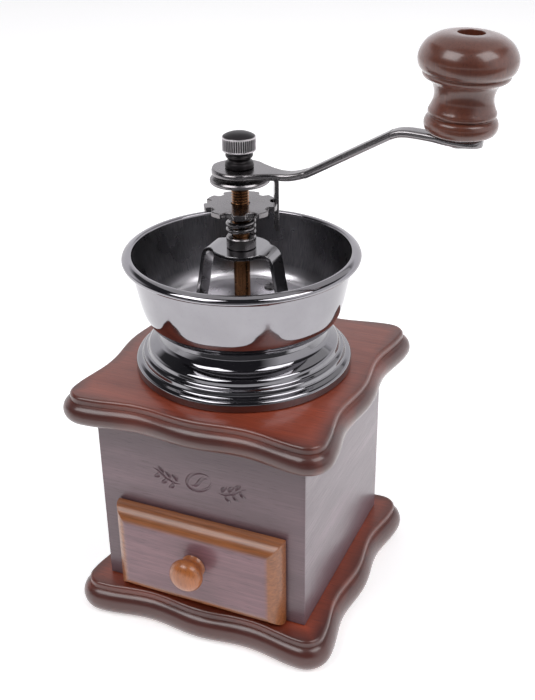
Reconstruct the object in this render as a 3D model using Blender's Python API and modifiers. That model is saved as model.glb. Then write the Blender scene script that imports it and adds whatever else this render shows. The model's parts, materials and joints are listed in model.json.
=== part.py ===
"""Hand-cranked burr coffee grinder: a wooden box with a drawer, a chrome hopper and a crank on a spindle.

The origin is the middle of the base's underside. The drawer pulls out along -Y and the crank rests along +X.
"""

import math

import bmesh
import bpy
from mathutils import Matrix, Vector

MM = 0.001
GAP = 0.3 * MM

# Wooden case
PLATE_HALF = 63.5 * MM
BASE_THICKNESS = 16 * MM
TOP_THICKNESS = 13.5 * MM
PLATE_CORNER = 12 * MM
PLATE_WAVE = 2.8 * MM
PLATE_MIDDLE_DIP = 1.0 * MM
STEP_HEIGHT = 3.2 * MM
STEP_INSET = 3.6 * MM
BULLNOSE_ROUND = 4.6 * MM
BODY_HALF = 50 * MM
BODY_HEIGHT = 88.5 * MM
WALL = 8 * MM
THROAT_RADIUS = 23 * MM

BASE_TOP = BASE_THICKNESS
BODY_TOP = BASE_TOP + BODY_HEIGHT
CASE_TOP = BODY_TOP + TOP_THICKNESS

# Drawer
FRONT_HALF = 41.4 * MM
FRONT_LOW = BASE_TOP + 0.5 * MM
FRONT_HIGH = BASE_TOP + 46.2 * MM
FRONT_THICKNESS = 9 * MM
FRONT_ROUND = 8 * MM
DRAWER_HALF = 36.4 * MM
DRAWER_SIDE = 5 * MM
DRAWER_FLOOR = 3 * MM
DRAWER_TOP = BASE_TOP + 38 * MM
DRAWER_REAR = 34 * MM
OPENING_HALF = 37 * MM
OPENING_TOP = BASE_TOP + 40.5 * MM
GUIDE_HEIGHT = 10 * MM
KNOB_HEIGHT = BASE_TOP + 26 * MM

# Hopper, ring and burrs, on the axis of the spindle
RING_TOP = CASE_TOP + 21 * MM
BOWL_LOW = RING_TOP + GAP
BURR_TEETH = 12
BURR_HEIGHT = 22 * MM

# Bridge bracket and spindle
BRIDGE_TOP = CASE_TOP + 55.6 * MM
BRIDGE_THICKNESS = 1.8 * MM
BRIDGE_DISC = 13 * MM
BUSHING_HIGH = BRIDGE_TOP + 5.3 * MM
SPINDLE_RADIUS = 3.6 * MM
THREAD_RADIUS = 3.8 * MM
BORE_RADIUS = THREAD_RADIUS + GAP

# Adjuster, lock plate and thumb nut
STAR_LOW = BRIDGE_TOP + 17.5 * MM
STAR_THICKNESS = 2.4 * MM
STAR_RADIUS = 15.8 * MM
STAR_NOTCHES = 9
NOTCH_DEPTH = 2.7 * MM
HUB_RADIUS = 6.3 * MM
HUB_HEIGHT = 3.9 * MM
SPRING_RADIUS = 5.5 * MM
SPRING_WIRE = 1.15 * MM
SPRING_TURNS = 2
LOCK_LOW = BRIDGE_TOP + 29.7 * MM
LOCK_RADIUS = 12.8 * MM
LOCK_THICKNESS = 2 * MM
TAB_RADIUS = 15.6 * MM
TAB_LENGTH = 25 * MM
TAB_ANGLE = math.radians(32.6)
EYE_LOW = BRIDGE_TOP + 32.9 * MM
NUT_LOW = EYE_LOW + 3 * MM + GAP
SPINDLE_ABOVE_EYE = 10 * MM

# Crank and its wooden knob
CRANK_THICKNESS = 3 * MM
CRANK_EYE = 12 * MM
CRANK_RADIUS = 92.5 * MM
CRANK_RISE = 24 * MM
CRANK_BEND = 26.7 * MM
CRANK_SHOULDER = 69 * MM
KNOB_TILT = math.radians(2.6)
KNOB_LENGTH = 37.6 * MM

MAHOGANY = (0.16, 0.045, 0.028)
REDDISH_WOOD = (0.27, 0.075, 0.035)
GOLDEN_WOOD = (0.38, 0.14, 0.045)
PLAIN_WOOD = (0.55, 0.36, 0.2)
CHROME = (0.75, 0.75, 0.76)
GUNMETAL = (0.16, 0.15, 0.155)
BRONZE = (0.42, 0.24, 0.13)
CAST_IRON = (0.1, 0.1, 0.105)
STEEL = (0.5, 0.5, 0.51)


def clear_scene():
    for obj in list(bpy.data.objects):
        bpy.data.objects.remove(obj, do_unlink=True)


def new_collection(name, hidden=False):
    collection = bpy.data.collections.new(name)
    bpy.context.scene.collection.children.link(collection)
    collection.hide_render = hidden
    return collection


def principled(name, colour, roughness, metallic=0.0):
    material = bpy.data.materials.new(name)
    material.use_nodes = True
    shader = material.node_tree.nodes["Principled BSDF"]
    shader.inputs["Base Color"].default_value = (*colour, 1)
    shader.inputs["Roughness"].default_value = roughness
    shader.inputs["Metallic"].default_value = metallic
    return material


def add(name, data, finish, parent=None, cutter=False):
    """One named object. finish is (colour, roughness, metallic)."""
    obj = bpy.data.objects.new(name, data)
    (cutters if cutter else parts).objects.link(obj)
    if cutter:
        obj.hide_render = True
        obj.display_type = "WIRE"
    else:
        data.materials.append(principled(name + "_finish", *finish))
    obj.parent = parent
    return obj


def mesh_from(bm, name, smooth_angle=35):
    mesh = bpy.data.meshes.new(name)
    bmesh.ops.recalc_face_normals(bm, faces=bm.faces)
    bm.to_mesh(mesh)
    bm.free()
    mesh.shade_smooth()
    mesh.set_sharp_from_angle(angle=math.radians(smooth_angle))
    return mesh


def box_mesh(name, low, high):
    bm = bmesh.new()
    bmesh.ops.create_cube(bm, size=1)
    low, high = Vector(low), Vector(high)
    for vert in bm.verts:
        vert.co = (low + high) / 2 + (high - low) * vert.co
    return mesh_from(bm, name)


def box(name, low, high, finish, parent=None, cutter=False):
    return add(name, box_mesh(name, low, high), finish, parent, cutter)


def rod_mesh(name, radius, low, high, centre=(0, 0), segments=32):
    bm = bmesh.new()
    size = {"radius1": radius, "radius2": radius, "depth": high - low}
    bmesh.ops.create_cone(bm, cap_ends=True, segments=segments, **size)
    bmesh.ops.translate(bm, verts=bm.verts, vec=(centre[0], centre[1], (low + high) / 2))
    return mesh_from(bm, name)


def rod(name, radius, low, high, finish, centre=(0, 0), segments=32, cutter=False):
    return add(name, rod_mesh(name, radius, low, high, centre, segments), finish, cutter=cutter)


def turned(name, profile, finish, steps=40, parent=None, closed=False, cutter=False):
    """A turned piece: (radius, height) points down its outer side, spun round Z by a Screw modifier."""
    mesh = bpy.data.meshes.new(name)
    count = len(profile)
    edges = [(i, (i + 1) % count) for i in range(count if closed else count - 1)]
    mesh.from_pydata([(r, 0, z) for r, z in profile], edges, [])
    obj = add(name, mesh, finish, parent, cutter)
    screw = obj.modifiers.new("turn", "SCREW")
    screw.axis = "Z"
    screw.angle = 2 * math.pi
    screw.steps = screw.render_steps = steps
    screw.use_merge_vertices = True
    screw.merge_threshold = 0.01 * MM
    screw.use_smooth_shade = True
    return obj


def scaled(profile, base=0.0):
    """A profile in millimetres as metres, raised to base."""
    return [(r * MM, base + z * MM) for r, z in profile]


def flat_curve(name, outline, thickness, bevel=0.0, bevel_resolution=1):
    """A flat outline, filled and extruded about its own plane, as a mesh with rounded rims."""
    curve = bpy.data.curves.new(name, "CURVE")
    curve.dimensions = "2D"
    curve.fill_mode = "BOTH"
    curve.extrude = thickness / 2 - bevel
    curve.bevel_depth = bevel
    curve.bevel_resolution = bevel_resolution
    curve.offset = -bevel
    spline = curve.splines.new("POLY")
    spline.points.add(len(outline) - 1)
    for point, (x, y) in zip(spline.points, outline):
        point.co = (x, y, 0, 1)
    spline.use_cyclic_u = True
    return curve_mesh(curve, name)


def curve_mesh(curve, name):
    """A curve as a closed mesh, with its caps welded to its sides."""
    guide = bpy.data.objects.new(name + "_curve", curve)
    cutters.objects.link(guide)
    graph = bpy.context.evaluated_depsgraph_get()
    mesh = bpy.data.meshes.new_from_object(guide.evaluated_get(graph))
    bpy.data.objects.remove(guide)
    bm = bmesh.new()
    bm.from_mesh(mesh)
    bmesh.ops.remove_doubles(bm, verts=bm.verts, dist=0.01 * MM)
    bpy.data.meshes.remove(mesh)
    return mesh_from(bm, name)


def boolean(obj, other, operation="DIFFERENCE"):
    modifier = obj.modifiers.new(operation.lower(), "BOOLEAN")
    modifier.operation = operation
    modifier.solver = "EXACT"
    modifier.object = other
    return obj


def bevel(obj, width, segments=1, angle=40):
    modifier = obj.modifiers.new("bevel", "BEVEL")
    modifier.width = width
    modifier.segments = segments
    modifier.limit_method = "ANGLE"
    modifier.angle_limit = math.radians(angle)


def bore(obj, radius, low, high, centre=(0, 0), segments=24, name="bore"):
    cutter = rod(f"{obj.name}_{name}", radius, low, high, None, centre, segments, cutter=True)
    return boolean(obj, cutter)


def strap_mesh(name, stations, thickness):
    """A flat bar bent in the XZ plane: each station is (x, z, half width), and the ends are capped."""
    bm = bmesh.new()
    rings = []
    for index, (x, z, half) in enumerate(stations):
        before = stations[max(index - 1, 0)]
        after = stations[min(index + 1, len(stations) - 1)]
        along = Vector((after[0] - before[0], 0, after[1] - before[1])).normalized()
        across = Vector((-along.z, 0, along.x)) * (thickness / 2)
        middle = Vector((x, 0, z))
        corners = [(across, half), (across, -half), (-across, -half), (-across, half)]
        rings.append([bm.verts.new(middle + lift + Vector((0, y, 0))) for lift, y in corners])
    for first, second in zip(rings, rings[1:]):
        for i in range(4):
            bm.faces.new((first[i], first[(i + 1) % 4], second[(i + 1) % 4], second[i]))
    bm.faces.new(rings[0])
    bm.faces.new(reversed(rings[-1]))
    return mesh_from(bm, name)


def mirrored(stations):
    """Half of a strap and its mirror image, where the last station is the middle one."""
    return stations + [(-x, z, half) for x, z, half in reversed(stations[:-1])]


def plate_outline(half, corner):
    """A square with round corners, whose sides swell at the middle and hollow on either side of it."""
    points = []
    side_points = 12
    corner_points = 4
    straight = half - corner
    for turn in range(4):
        rotate = Matrix.Rotation(turn * math.pi / 2, 2)
        for i in range(side_points + 1):
            t = i / side_points
            dip = PLATE_WAVE * (1 - math.cos(4 * math.pi * t)) / 2
            dip += PLATE_MIDDLE_DIP * (1 - math.cos(2 * math.pi * t)) / 2
            points.append(rotate @ Vector((-straight + 2 * straight * t, -half + dip)))
        for i in range(1, corner_points):
            a = -math.pi / 2 + i / corner_points * math.pi / 2
            edge = Vector((straight + corner * math.cos(a), -straight + corner * math.sin(a)))
            points.append(rotate @ edge)
    return points


def moulded_plate(name, low, thickness):
    """A plate of the case: a wide bullnose below and a small step above it."""
    nose_height = thickness - STEP_HEIGHT
    outer = plate_outline(PLATE_HALF, PLATE_CORNER)
    nose = flat_curve(name, outer, nose_height, BULLNOSE_ROUND)
    nose.transform(Matrix.Translation((0, 0, low + nose_height / 2)))
    plate = add(name, nose, (MAHOGANY, 0.35))
    overlap = 1 * MM
    inner = plate_outline(PLATE_HALF - STEP_INSET, PLATE_CORNER - STEP_INSET)
    step_mesh = flat_curve(name + "_step", inner, STEP_HEIGHT + overlap, 1.2 * MM, 0)
    middle = low + thickness - (STEP_HEIGHT + overlap) / 2
    step_mesh.transform(Matrix.Translation((0, 0, middle)))
    step = add(name + "_step", step_mesh, None, cutter=True)
    return boolean(plate, step, "UNION")


def screw_profile(length, grow=0.0):
    """A countersunk wood screw, end up and head at zero; grow widens it into the hole that takes it."""
    head, shank, cone = 3.4 * MM + grow, 1.6 * MM + grow, 2.2 * MM
    tip, mouth = length + grow, -5 * grow
    return [(0, tip), (shank, tip), (shank, cone), (head, 0), (head, mouth), (0, mouth)]


def case_screw(name, x, y, length):
    """A screw driven up from the base, with its own hole through each piece that it passes."""
    sunk = 0.8 * MM
    solid = screw_profile(length)[:4] + [(0, 0)]
    screw = turned(f"base_screw_{name}", solid, (STEEL, 0.3, 1.0), steps=12)
    screw.location = (x, y, sunk)
    panel = bpy.data.objects["front_panel" if y < 0 else "back_panel"]
    for piece in (bpy.data.objects["base_plate"], panel):
        widened = screw_profile(length, 0.4 * MM)
        hole = turned(f"{piece.name}_{name}", widened, None, steps=12, cutter=True)
        hole.location = (x, y, sunk)
        boolean(piece, hole)


def make_case():
    moulded_plate("base_plate", 0, BASE_THICKNESS)
    top = moulded_plate("top_plate", BODY_TOP, TOP_THICKNESS)
    bore(top, THROAT_RADIUS, BODY_TOP - WALL, CASE_TOP + WALL, segments=40, name="throat")
    low, high = BASE_TOP + GAP, BODY_TOP - GAP
    inner = BODY_HALF - WALL
    wood = (REDDISH_WOOD, 0.4)
    front = box("front_panel", (-BODY_HALF, -BODY_HALF, low), (BODY_HALF, -inner, high), wood)
    opening = box(
        "front_panel_opening",
        (-OPENING_HALF, -BODY_HALF - WALL, low - WALL),
        (OPENING_HALF, -inner + WALL, OPENING_TOP),
        None,
        cutter=True,
    )
    boolean(front, opening)
    box("back_panel", (-BODY_HALF, inner, low), (BODY_HALF, BODY_HALF, high), wood)
    reach = inner - GAP
    box("left_panel", (-BODY_HALF, -reach, low), (-inner, reach, high), wood)
    box("right_panel", (inner, -reach, low), (BODY_HALF, reach, high), wood)
    for name in ("front_panel", "back_panel", "left_panel", "right_panel"):
        bevel(bpy.data.objects[name], 0.8 * MM)
    for side, sign in (("left", -1), ("right", 1)):
        near, far = OPENING_HALF + GAP, inner - GAP
        xs = sorted((sign * near, sign * far))
        box(
            f"drawer_guide_{side}",
            (xs[0], -reach, low),
            (xs[1], reach, low + GUIDE_HEIGHT),
            (PLAIN_WOOD, 0.6),
        )


def make_case_screws():
    """Four screws that come up through the base into the front and back walls."""
    spot = BODY_HALF - WALL / 2
    side = 40 * MM
    places = [("front_left", -side, -spot), ("front_right", side, -spot)]
    places += [("back_left", -side, spot), ("back_right", side, spot)]
    for name, x, y in places:
        case_screw(name, x, y, 26 * MM)


def make_drawer(rail):
    """A plain box, with two sides and a back on a floor, behind a front that overlaps the case."""
    wood = (PLAIN_WOOD, 0.55)
    front_back = -BODY_HALF - GAP
    face = front_back - FRONT_THICKNESS
    low, high = (-FRONT_HALF, face, FRONT_LOW), (FRONT_HALF, front_back, FRONT_HIGH)
    front = box("drawer_front", low, high, (GOLDEN_WOOD, 0.35), rail)
    bm = bmesh.new()
    bm.from_mesh(front.data)
    rim = [e for e in bm.edges if all(abs(v.co.y - face) < GAP for v in e.verts)]
    bmesh.ops.bevel(bm, geom=rim, offset=FRONT_ROUND, segments=4, profile=0.5, affect="EDGES")
    bm.to_mesh(front.data)
    bm.free()
    half, start = DRAWER_HALF, -BODY_HALF
    inner = half - DRAWER_SIDE
    floor_low = BASE_TOP + 0.6 * MM
    floor_high = floor_low + DRAWER_FLOOR
    wall_low = floor_high + GAP
    back_start = DRAWER_REAR - DRAWER_SIDE
    sub_parts = {
        "drawer_bottom": ((-half, start, floor_low), (half, DRAWER_REAR, floor_high)),
        "drawer_side_left": ((-half, start, wall_low), (-inner, DRAWER_REAR, DRAWER_TOP)),
        "drawer_side_right": ((inner, start, wall_low), (half, DRAWER_REAR, DRAWER_TOP)),
        "drawer_back": ((-inner + GAP, back_start, wall_low), (inner - GAP, DRAWER_REAR, DRAWER_TOP)),
    }
    for name, (lowest, highest) in sub_parts.items():
        box(name, lowest, highest, wood, rail)
    make_drawer_knob(rail, face)


def make_drawer_knob(rail, face):
    """A turned mushroom knob on the drawer front, held by a screw from inside the drawer."""
    shape = [(0, 12.2), (3.7, 11.9), (6.3, 10.7), (7.7, 8.6), (7.9, 6.8), (7.4, 5.2), (6.0, 4.0)]
    shape += [(5.1, 2.6), (5.2, 1.2), (5.9, 0.3), (1.9, 0.3), (1.9, 8.0), (0, 8.0)]
    knob = turned("drawer_knob", scaled(shape), (GOLDEN_WOOD, 0.25), steps=20, parent=rail)
    knob.rotation_euler = (math.pi / 2, 0, 0)
    knob.location = (0, face, KNOB_HEIGHT)
    screw_shape = [(0, 16.5), (1.6, 16.5), (1.6, 0), (3.2, 0), (3.2, -1.5), (0, -1.5)]
    steel = (STEEL, 0.3, 1.0)
    screw = turned("drawer_knob_screw", scaled(screw_shape), steel, steps=12, parent=rail)
    screw.rotation_euler = (math.pi / 2, 0, 0)
    screw.location = (0, face + FRONT_THICKNESS + GAP, KNOB_HEIGHT)
    reach = 2 * FRONT_THICKNESS
    hole = rod("drawer_front_hole", 1.9 * MM, -reach, reach, None, segments=16, cutter=True)
    hole.rotation_euler = screw.rotation_euler
    hole.location = knob.location
    boolean(bpy.data.objects["drawer_front"], hole)


def make_ring():
    """A spun ring that lifts the hopper: a vertical lip, two broad steps and a cove up to a flange."""
    outer = [(36.0, 0), (36.4, -1.2), (37.2, -4.5), (39.6, -8.0), (43.0, -10.0), (43.8, -12.0)]
    outer += [(45.4, -13.0), (45.9, -15.2), (48.3, -16.4), (49.2, -17.6), (49.2, -20.7)]
    inner = [(48.0, -20.7), (47.8, -17.4), (44.6, -14.2), (42.2, -11.0), (38.4, -9.0), (35.9, -5.0)]
    inner += [(34.8, -1.2), (27.0, -1.2), (27.0, 0)]
    turned("base_ring", scaled(outer + inner, RING_TOP), (CHROME, 0.12, 1.0), 40, closed=True)


def make_bowl():
    """The hopper: a deep spun bowl with a rolled rim, and a floor with a throat for the beans."""
    rim = [(49.9, 33.3), (51.6, 32.7), (52.5, 31.2), (52.3, 29.4), (51.0, 28.3), (49.3, 28.3)]
    wall = [(48.4, 25.0), (46.9, 18.5), (45.7, 12.5), (44.4, 7.0), (42.4, 2.7), (39.2, 0.4), (36.5, 0)]
    floor = [(19.5, 0), (19.5, 1.4), (35.8, 1.6), (39.0, 2.4), (41.3, 4.6), (43.0, 8.0)]
    inside = [(44.3, 13.0), (45.6, 19.0), (46.8, 25.5), (47.2, 31.4), (48.4, 32.9)]
    profile = scaled(rim + wall + floor + inside, BOWL_LOW)
    turned("hopper_bowl", profile, (CHROME, 0.1, 1.0), 40, closed=True)


def make_burrs():
    """A fixed ring with a cone-shaped bore under the bowl, and a toothed cone that turns in it."""
    iron = (CAST_IRON, 0.5, 0.9)
    ring = [(26.0, 0), (26.0, -3), (21.8, -3), (21.8, -26), (19.9, -26), (14.6, -6), (18.5, 0)]
    turned("burr_ring", scaled(ring, RING_TOP - GAP), iron, 28, closed=True)
    low = RING_TOP - 24.5 * MM
    cone_levels = [(17.8 * MM, 0), (13.2 * MM, 17 * MM), (6 * MM, BURR_HEIGHT)]
    groove = 0.9
    twist_length = 60 * MM
    sides = 2 * BURR_TEETH
    bm = bmesh.new()
    rings = []
    for radius, height in cone_levels:
        ring_verts = []
        for i in range(sides):
            turn = 2 * math.pi * i / sides + height / twist_length
            r = radius * (1 if i % 2 else groove)
            ring_verts.append(bm.verts.new((r * math.cos(turn), r * math.sin(turn), low + height)))
        rings.append(ring_verts)
    for first, second in zip(rings, rings[1:]):
        for i in range(sides):
            j = (i + 1) % sides
            bm.faces.new((first[i], first[j], second[j], second[i]))
    bm.faces.new(reversed(rings[0]))
    bm.faces.new(rings[-1])
    cone = add("inner_burr", mesh_from(bm, "inner_burr"), iron, parent=shaft)
    bore(cone, SPINDLE_RADIUS + GAP, low - 5 * MM, low + BURR_HEIGHT + 5 * MM)
    nut_low = low - 3.8 * MM
    nut = rod("burr_nut", 5.6 * MM, nut_low, low - GAP, (STEEL, 0.35, 1.0), segments=6)
    nut.parent = shaft
    bore(nut, SPINDLE_RADIUS + GAP, nut_low - MM, low + MM, segments=20)
    return nut_low


def make_lower_bearing(nut_low):
    """A strap across the underside of the burr ring, with a hole that steadies the spindle's end."""
    seat = RING_TOP - 27.7 * MM
    level = nut_low - 4.3 * MM
    stations = [(-20.5, seat, 5), (-17.5, seat - 2.1 * MM, 5)]
    stations += [(-14, level, 5), (-8, level, 6.5), (0, level, 7.5)]
    path = mirrored([(x * MM, z, w * MM) for x, z, w in stations])
    mesh = strap_mesh("lower_bearing_bar", path, 2 * MM)
    bar = add("lower_bearing_bar", mesh, (STEEL, 0.35, 1.0))
    bore(bar, 2.6 * MM + GAP, level - 5 * MM, level + 5 * MM)
    return level


def make_bridge():
    """The bridge over the throat: a strap with two splayed legs, and a round seat for the bushing."""
    middle = BRIDGE_TOP - BRIDGE_THICKNESS / 2
    foot = BOWL_LOW + 1.4 * MM + GAP + BRIDGE_THICKNESS / 2 + 0.1 * MM
    leg = 5.25
    outline = [(-28.8, foot, leg), (-22.4, foot, leg), (-21.2, foot + 0.7 * MM, leg)]
    outline += [(-20.6, foot + 3 * MM, leg), (-16.4, middle - 5.0 * MM, leg)]
    outline += [(-15.4, middle - 2.0 * MM, leg), (-13.8, middle - 0.4 * MM, leg + 0.3)]
    outline += [(-11.9, middle, 6.1), (-10.6, middle, 7.6)]
    path = [(x * MM, z, w * MM) for x, z, w in outline]
    for x in (-8 * MM, -4.6 * MM, 0):
        path.append((x, middle, math.sqrt(BRIDGE_DISC**2 - x * x)))
    path = mirrored(path)
    mesh = strap_mesh("bridge_bracket", path, BRIDGE_THICKNESS)
    bridge = add("bridge_bracket", mesh, (CHROME, 0.15, 1.0))
    bore(bridge, 5.0 * MM + GAP, middle - 5 * MM, middle + 5 * MM)
    sleeve = BRIDGE_TOP - 4.5 * MM
    seat = BRIDGE_TOP + GAP
    outer = [(6.0 * MM, BUSHING_HIGH), (6.5 * MM, BUSHING_HIGH - 0.5 * MM), (6.5 * MM, seat)]
    outer += [(5.0 * MM, seat), (5.0 * MM, sleeve), (BORE_RADIUS, sleeve), (BORE_RADIUS, BUSHING_HIGH)]
    turned("spindle_bushing", outer, (GUNMETAL, 0.3, 1.0), 20, closed=True)
    return foot


def make_mounting_screws():
    """Three long screws that pass through the bowl and the ring into the top plate."""
    bowl = bpy.data.objects["hopper_bowl"]
    ring = bpy.data.objects["base_ring"]
    plate = bpy.data.objects["top_plate"]
    seat = BOWL_LOW + 1.5 * MM
    length = 30 * MM
    for index, degrees in enumerate((90, 210, 330)):
        turn = math.radians(degrees)
        x, y = 31.5 * MM * math.cos(turn), 31.5 * MM * math.sin(turn)
        name = f"mounting_screw_{index + 1}"
        profile = [(0, 1.4 * MM), (2.2 * MM, 1.1 * MM), (3.2 * MM, GAP), (1.6 * MM, GAP)]
        profile += [(1.6 * MM, -length), (0, -length)]
        screw = turned(name, profile, (STEEL, 0.25, 1.0), steps=12)
        screw.location = (x, y, seat)
        for piece in (bowl, ring, plate):
            bore(piece, 1.6 * MM + GAP, seat - length - MM, seat + 5 * MM, (x, y), 12, name)


def make_bridge_rivets(foot):
    """A rivet through each foot of the bridge, the bowl's floor and the parts under it."""
    bridge = bpy.data.objects["bridge_bracket"]
    bowl = bpy.data.objects["hopper_bowl"]
    ring = bpy.data.objects["burr_ring"]
    top = foot + BRIDGE_THICKNESS / 2 + GAP
    for name, x in (("left", -25.6 * MM), ("right", 25.6 * MM)):
        shank = 1.2 * MM
        low = BOWL_LOW - 1.0 * MM
        profile = [(0, top + 1.1 * MM), (1.4 * MM, top + 0.9 * MM), (2.2 * MM, top)]
        profile += [(shank, top), (shank, low), (0, low)]
        rivet = turned(f"bridge_rivet_{name}", profile, (STEEL, 0.3, 1.0), steps=12)
        rivet.location = (x, 0, 0)
        for piece in (bridge, bowl, bpy.data.objects["base_ring"], ring):
            bore(piece, shank + GAP, low - GAP, top + MM, (x, 0), 10, f"rivet_{name}")


def star_outline():
    """A round wheel with evenly spaced trapezoid notches, one of them at the lock plate's tab."""
    points = []
    pitch = 2 * math.pi / STAR_NOTCHES
    mouth, floor = 0.16, 0.12
    deep = STAR_RADIUS - NOTCH_DEPTH
    rim = [mouth + (pitch - 2 * mouth) * i / 3 for i in (1, 2)]
    shape = [(-mouth, STAR_RADIUS), (-floor, deep), (floor, deep), (mouth, STAR_RADIUS)]
    shape += [(offset, STAR_RADIUS) for offset in rim]
    for k in range(STAR_NOTCHES):
        for offset, radius in shape:
            a = TAB_ANGLE + k * pitch + offset
            points.append((radius * math.cos(a), radius * math.sin(a)))
    return points


def make_adjuster(wheel_axis):
    """The star wheel on the thread, with the spring that keeps it from rattling loose."""
    mesh = flat_curve("star_wheel", star_outline(), STAR_THICKNESS)
    mesh.transform(Matrix.Translation((0, 0, STAR_LOW + STAR_THICKNESS / 2)))
    wheel = add("star_wheel", mesh, (GUNMETAL, 0.3, 1.0), wheel_axis)
    hub_low = STAR_LOW - HUB_HEIGHT
    hub = rod("star_wheel_hub", HUB_RADIUS, hub_low, STAR_LOW + MM, None, segments=28, cutter=True)
    boolean(wheel, hub, "UNION")
    bore(wheel, BORE_RADIUS, hub_low - MM, STAR_LOW + 5 * MM)
    make_spring(wheel_axis, BUSHING_HIGH + GAP, hub_low - GAP)


def make_spring(wheel_axis, low, high):
    """An open coil of round wire between the bushing and the wheel's hub."""
    per_turn = 12
    bottom, top = low + SPRING_WIRE, high - SPRING_WIRE
    curve = bpy.data.curves.new("adjuster_spring", "CURVE")
    curve.dimensions = "3D"
    curve.bevel_depth = SPRING_WIRE
    curve.bevel_resolution = 2
    curve.use_fill_caps = True
    spline = curve.splines.new("POLY")
    count = SPRING_TURNS * per_turn
    spline.points.add(count)
    for i, point in enumerate(spline.points):
        a = 2 * math.pi * i / per_turn
        z = bottom + (top - bottom) * i / count
        point.co = (SPRING_RADIUS * math.cos(a), SPRING_RADIUS * math.sin(a), z, 1)
    add("adjuster_spring", curve_mesh(curve, "adjuster_spring"), (STEEL, 0.25, 1.0), wheel_axis)


def make_spindle(nut_low, bearing):
    """One steel shaft: a journal in the lower bearing, the burr's seat, and a thread up to the thumb nut."""
    end = bearing - 2.5 * MM
    thread_low = BRIDGE_TOP + 10 * MM
    top = NUT_LOW + SPINDLE_ABOVE_EYE
    profile = [(0, top), (3.0 * MM, top), (THREAD_RADIUS, top - 0.8 * MM), (THREAD_RADIUS, thread_low)]
    profile += [(SPINDLE_RADIUS, thread_low - 0.5 * MM), (SPINDLE_RADIUS, nut_low - 0.5 * MM)]
    profile += [(2.6 * MM, nut_low - 0.6 * MM), (2.6 * MM, end), (0, end)]
    turned("spindle", profile, (BRONZE, 0.35, 1.0), 20, parent=shaft)


def make_lock_plate():
    """A washer whose tab is bent down into a notch of the star wheel, so that both turn together."""
    middle = LOCK_LOW + LOCK_THICKNESS / 2
    finish = (GUNMETAL, 0.25, 1.0)
    plate = rod("lock_plate", LOCK_RADIUS, LOCK_LOW, LOCK_LOW + LOCK_THICKNESS, finish)
    plate.parent = shaft
    path = [(8 * MM, middle, 2 * MM), (TAB_RADIUS - 1.6 * MM, middle, 2 * MM)]
    path += [(TAB_RADIUS - 0.5 * MM, middle - 0.5 * MM, 2 * MM), (TAB_RADIUS, middle - 1.6 * MM, 2 * MM)]
    path += [(TAB_RADIUS, middle - TAB_LENGTH, 2 * MM)]
    tab_mesh = strap_mesh("lock_plate_tab", path, 1.8 * MM)
    tab_mesh.transform(Matrix.Rotation(TAB_ANGLE, 4, "Z"))
    boolean(plate, add("lock_plate_tab", tab_mesh, None, cutter=True), "UNION")
    bore(plate, BORE_RADIUS, LOCK_LOW - MM, LOCK_LOW + 5 * MM)
    low = LOCK_LOW + LOCK_THICKNESS + GAP
    washer = rod("crank_washer", 7 * MM, low, EYE_LOW - GAP, (STEEL, 0.3, 1.0), segments=28)
    washer.parent = shaft
    bore(washer, BORE_RADIUS, low - MM, EYE_LOW + MM)


def crank_path():
    """Stations along the crank: an eye on the spindle, a rise, and a flattened eye under the knob."""
    arm = 3.5 * MM
    low = EYE_LOW + CRANK_THICKNESS / 2
    high = low + CRANK_RISE
    stations = []
    for x in (-11.9, -10.8, -8.6, -4.8, 0, 4.8, 8.6):
        stations.append((x * MM, low, math.sqrt(CRANK_EYE**2 - (x * MM) ** 2)))
    stations += [(12.6 * MM, low, 6 * MM), (15.4 * MM, low, 4.9 * MM)]
    bend = [(-8, 0, 3.9), (-2.7, 0.45, 3.6), (2.3, 1.85, 3.5), (6.9, 4, 3.5)]
    stations += [(CRANK_BEND + x * MM, low + z * MM, half * MM) for x, z, half in bend]
    stations += [(CRANK_SHOULDER - 4 * MM, high - 1.9 * MM, arm), (CRANK_SHOULDER, high - 0.3 * MM, arm)]
    stations += [(CRANK_SHOULDER + 4 * MM, high, arm)]
    slope = math.tan(KNOB_TILT)
    for x, half in ((-12, 3.4), (-7, 5.0), (-3, 5.9), (2, 6.0), (6, 5.2), (8.6, 3.2), (9.4, 1.2)):
        along = CRANK_RADIUS + x * MM
        stations.append((along, high - slope * (along - CRANK_SHOULDER - 4 * MM), half * MM))
    return stations


def knob_frame():
    """The place of the knob's foot, and the turn that tilts its axis outwards."""
    high = EYE_LOW + CRANK_THICKNESS / 2 + CRANK_RISE
    drop = math.tan(KNOB_TILT) * (CRANK_RADIUS - CRANK_SHOULDER - 4 * MM)
    place = Vector((CRANK_RADIUS, 0, high - drop))
    return Matrix.Translation(place) @ Matrix.Rotation(KNOB_TILT, 4, "Y")


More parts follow.
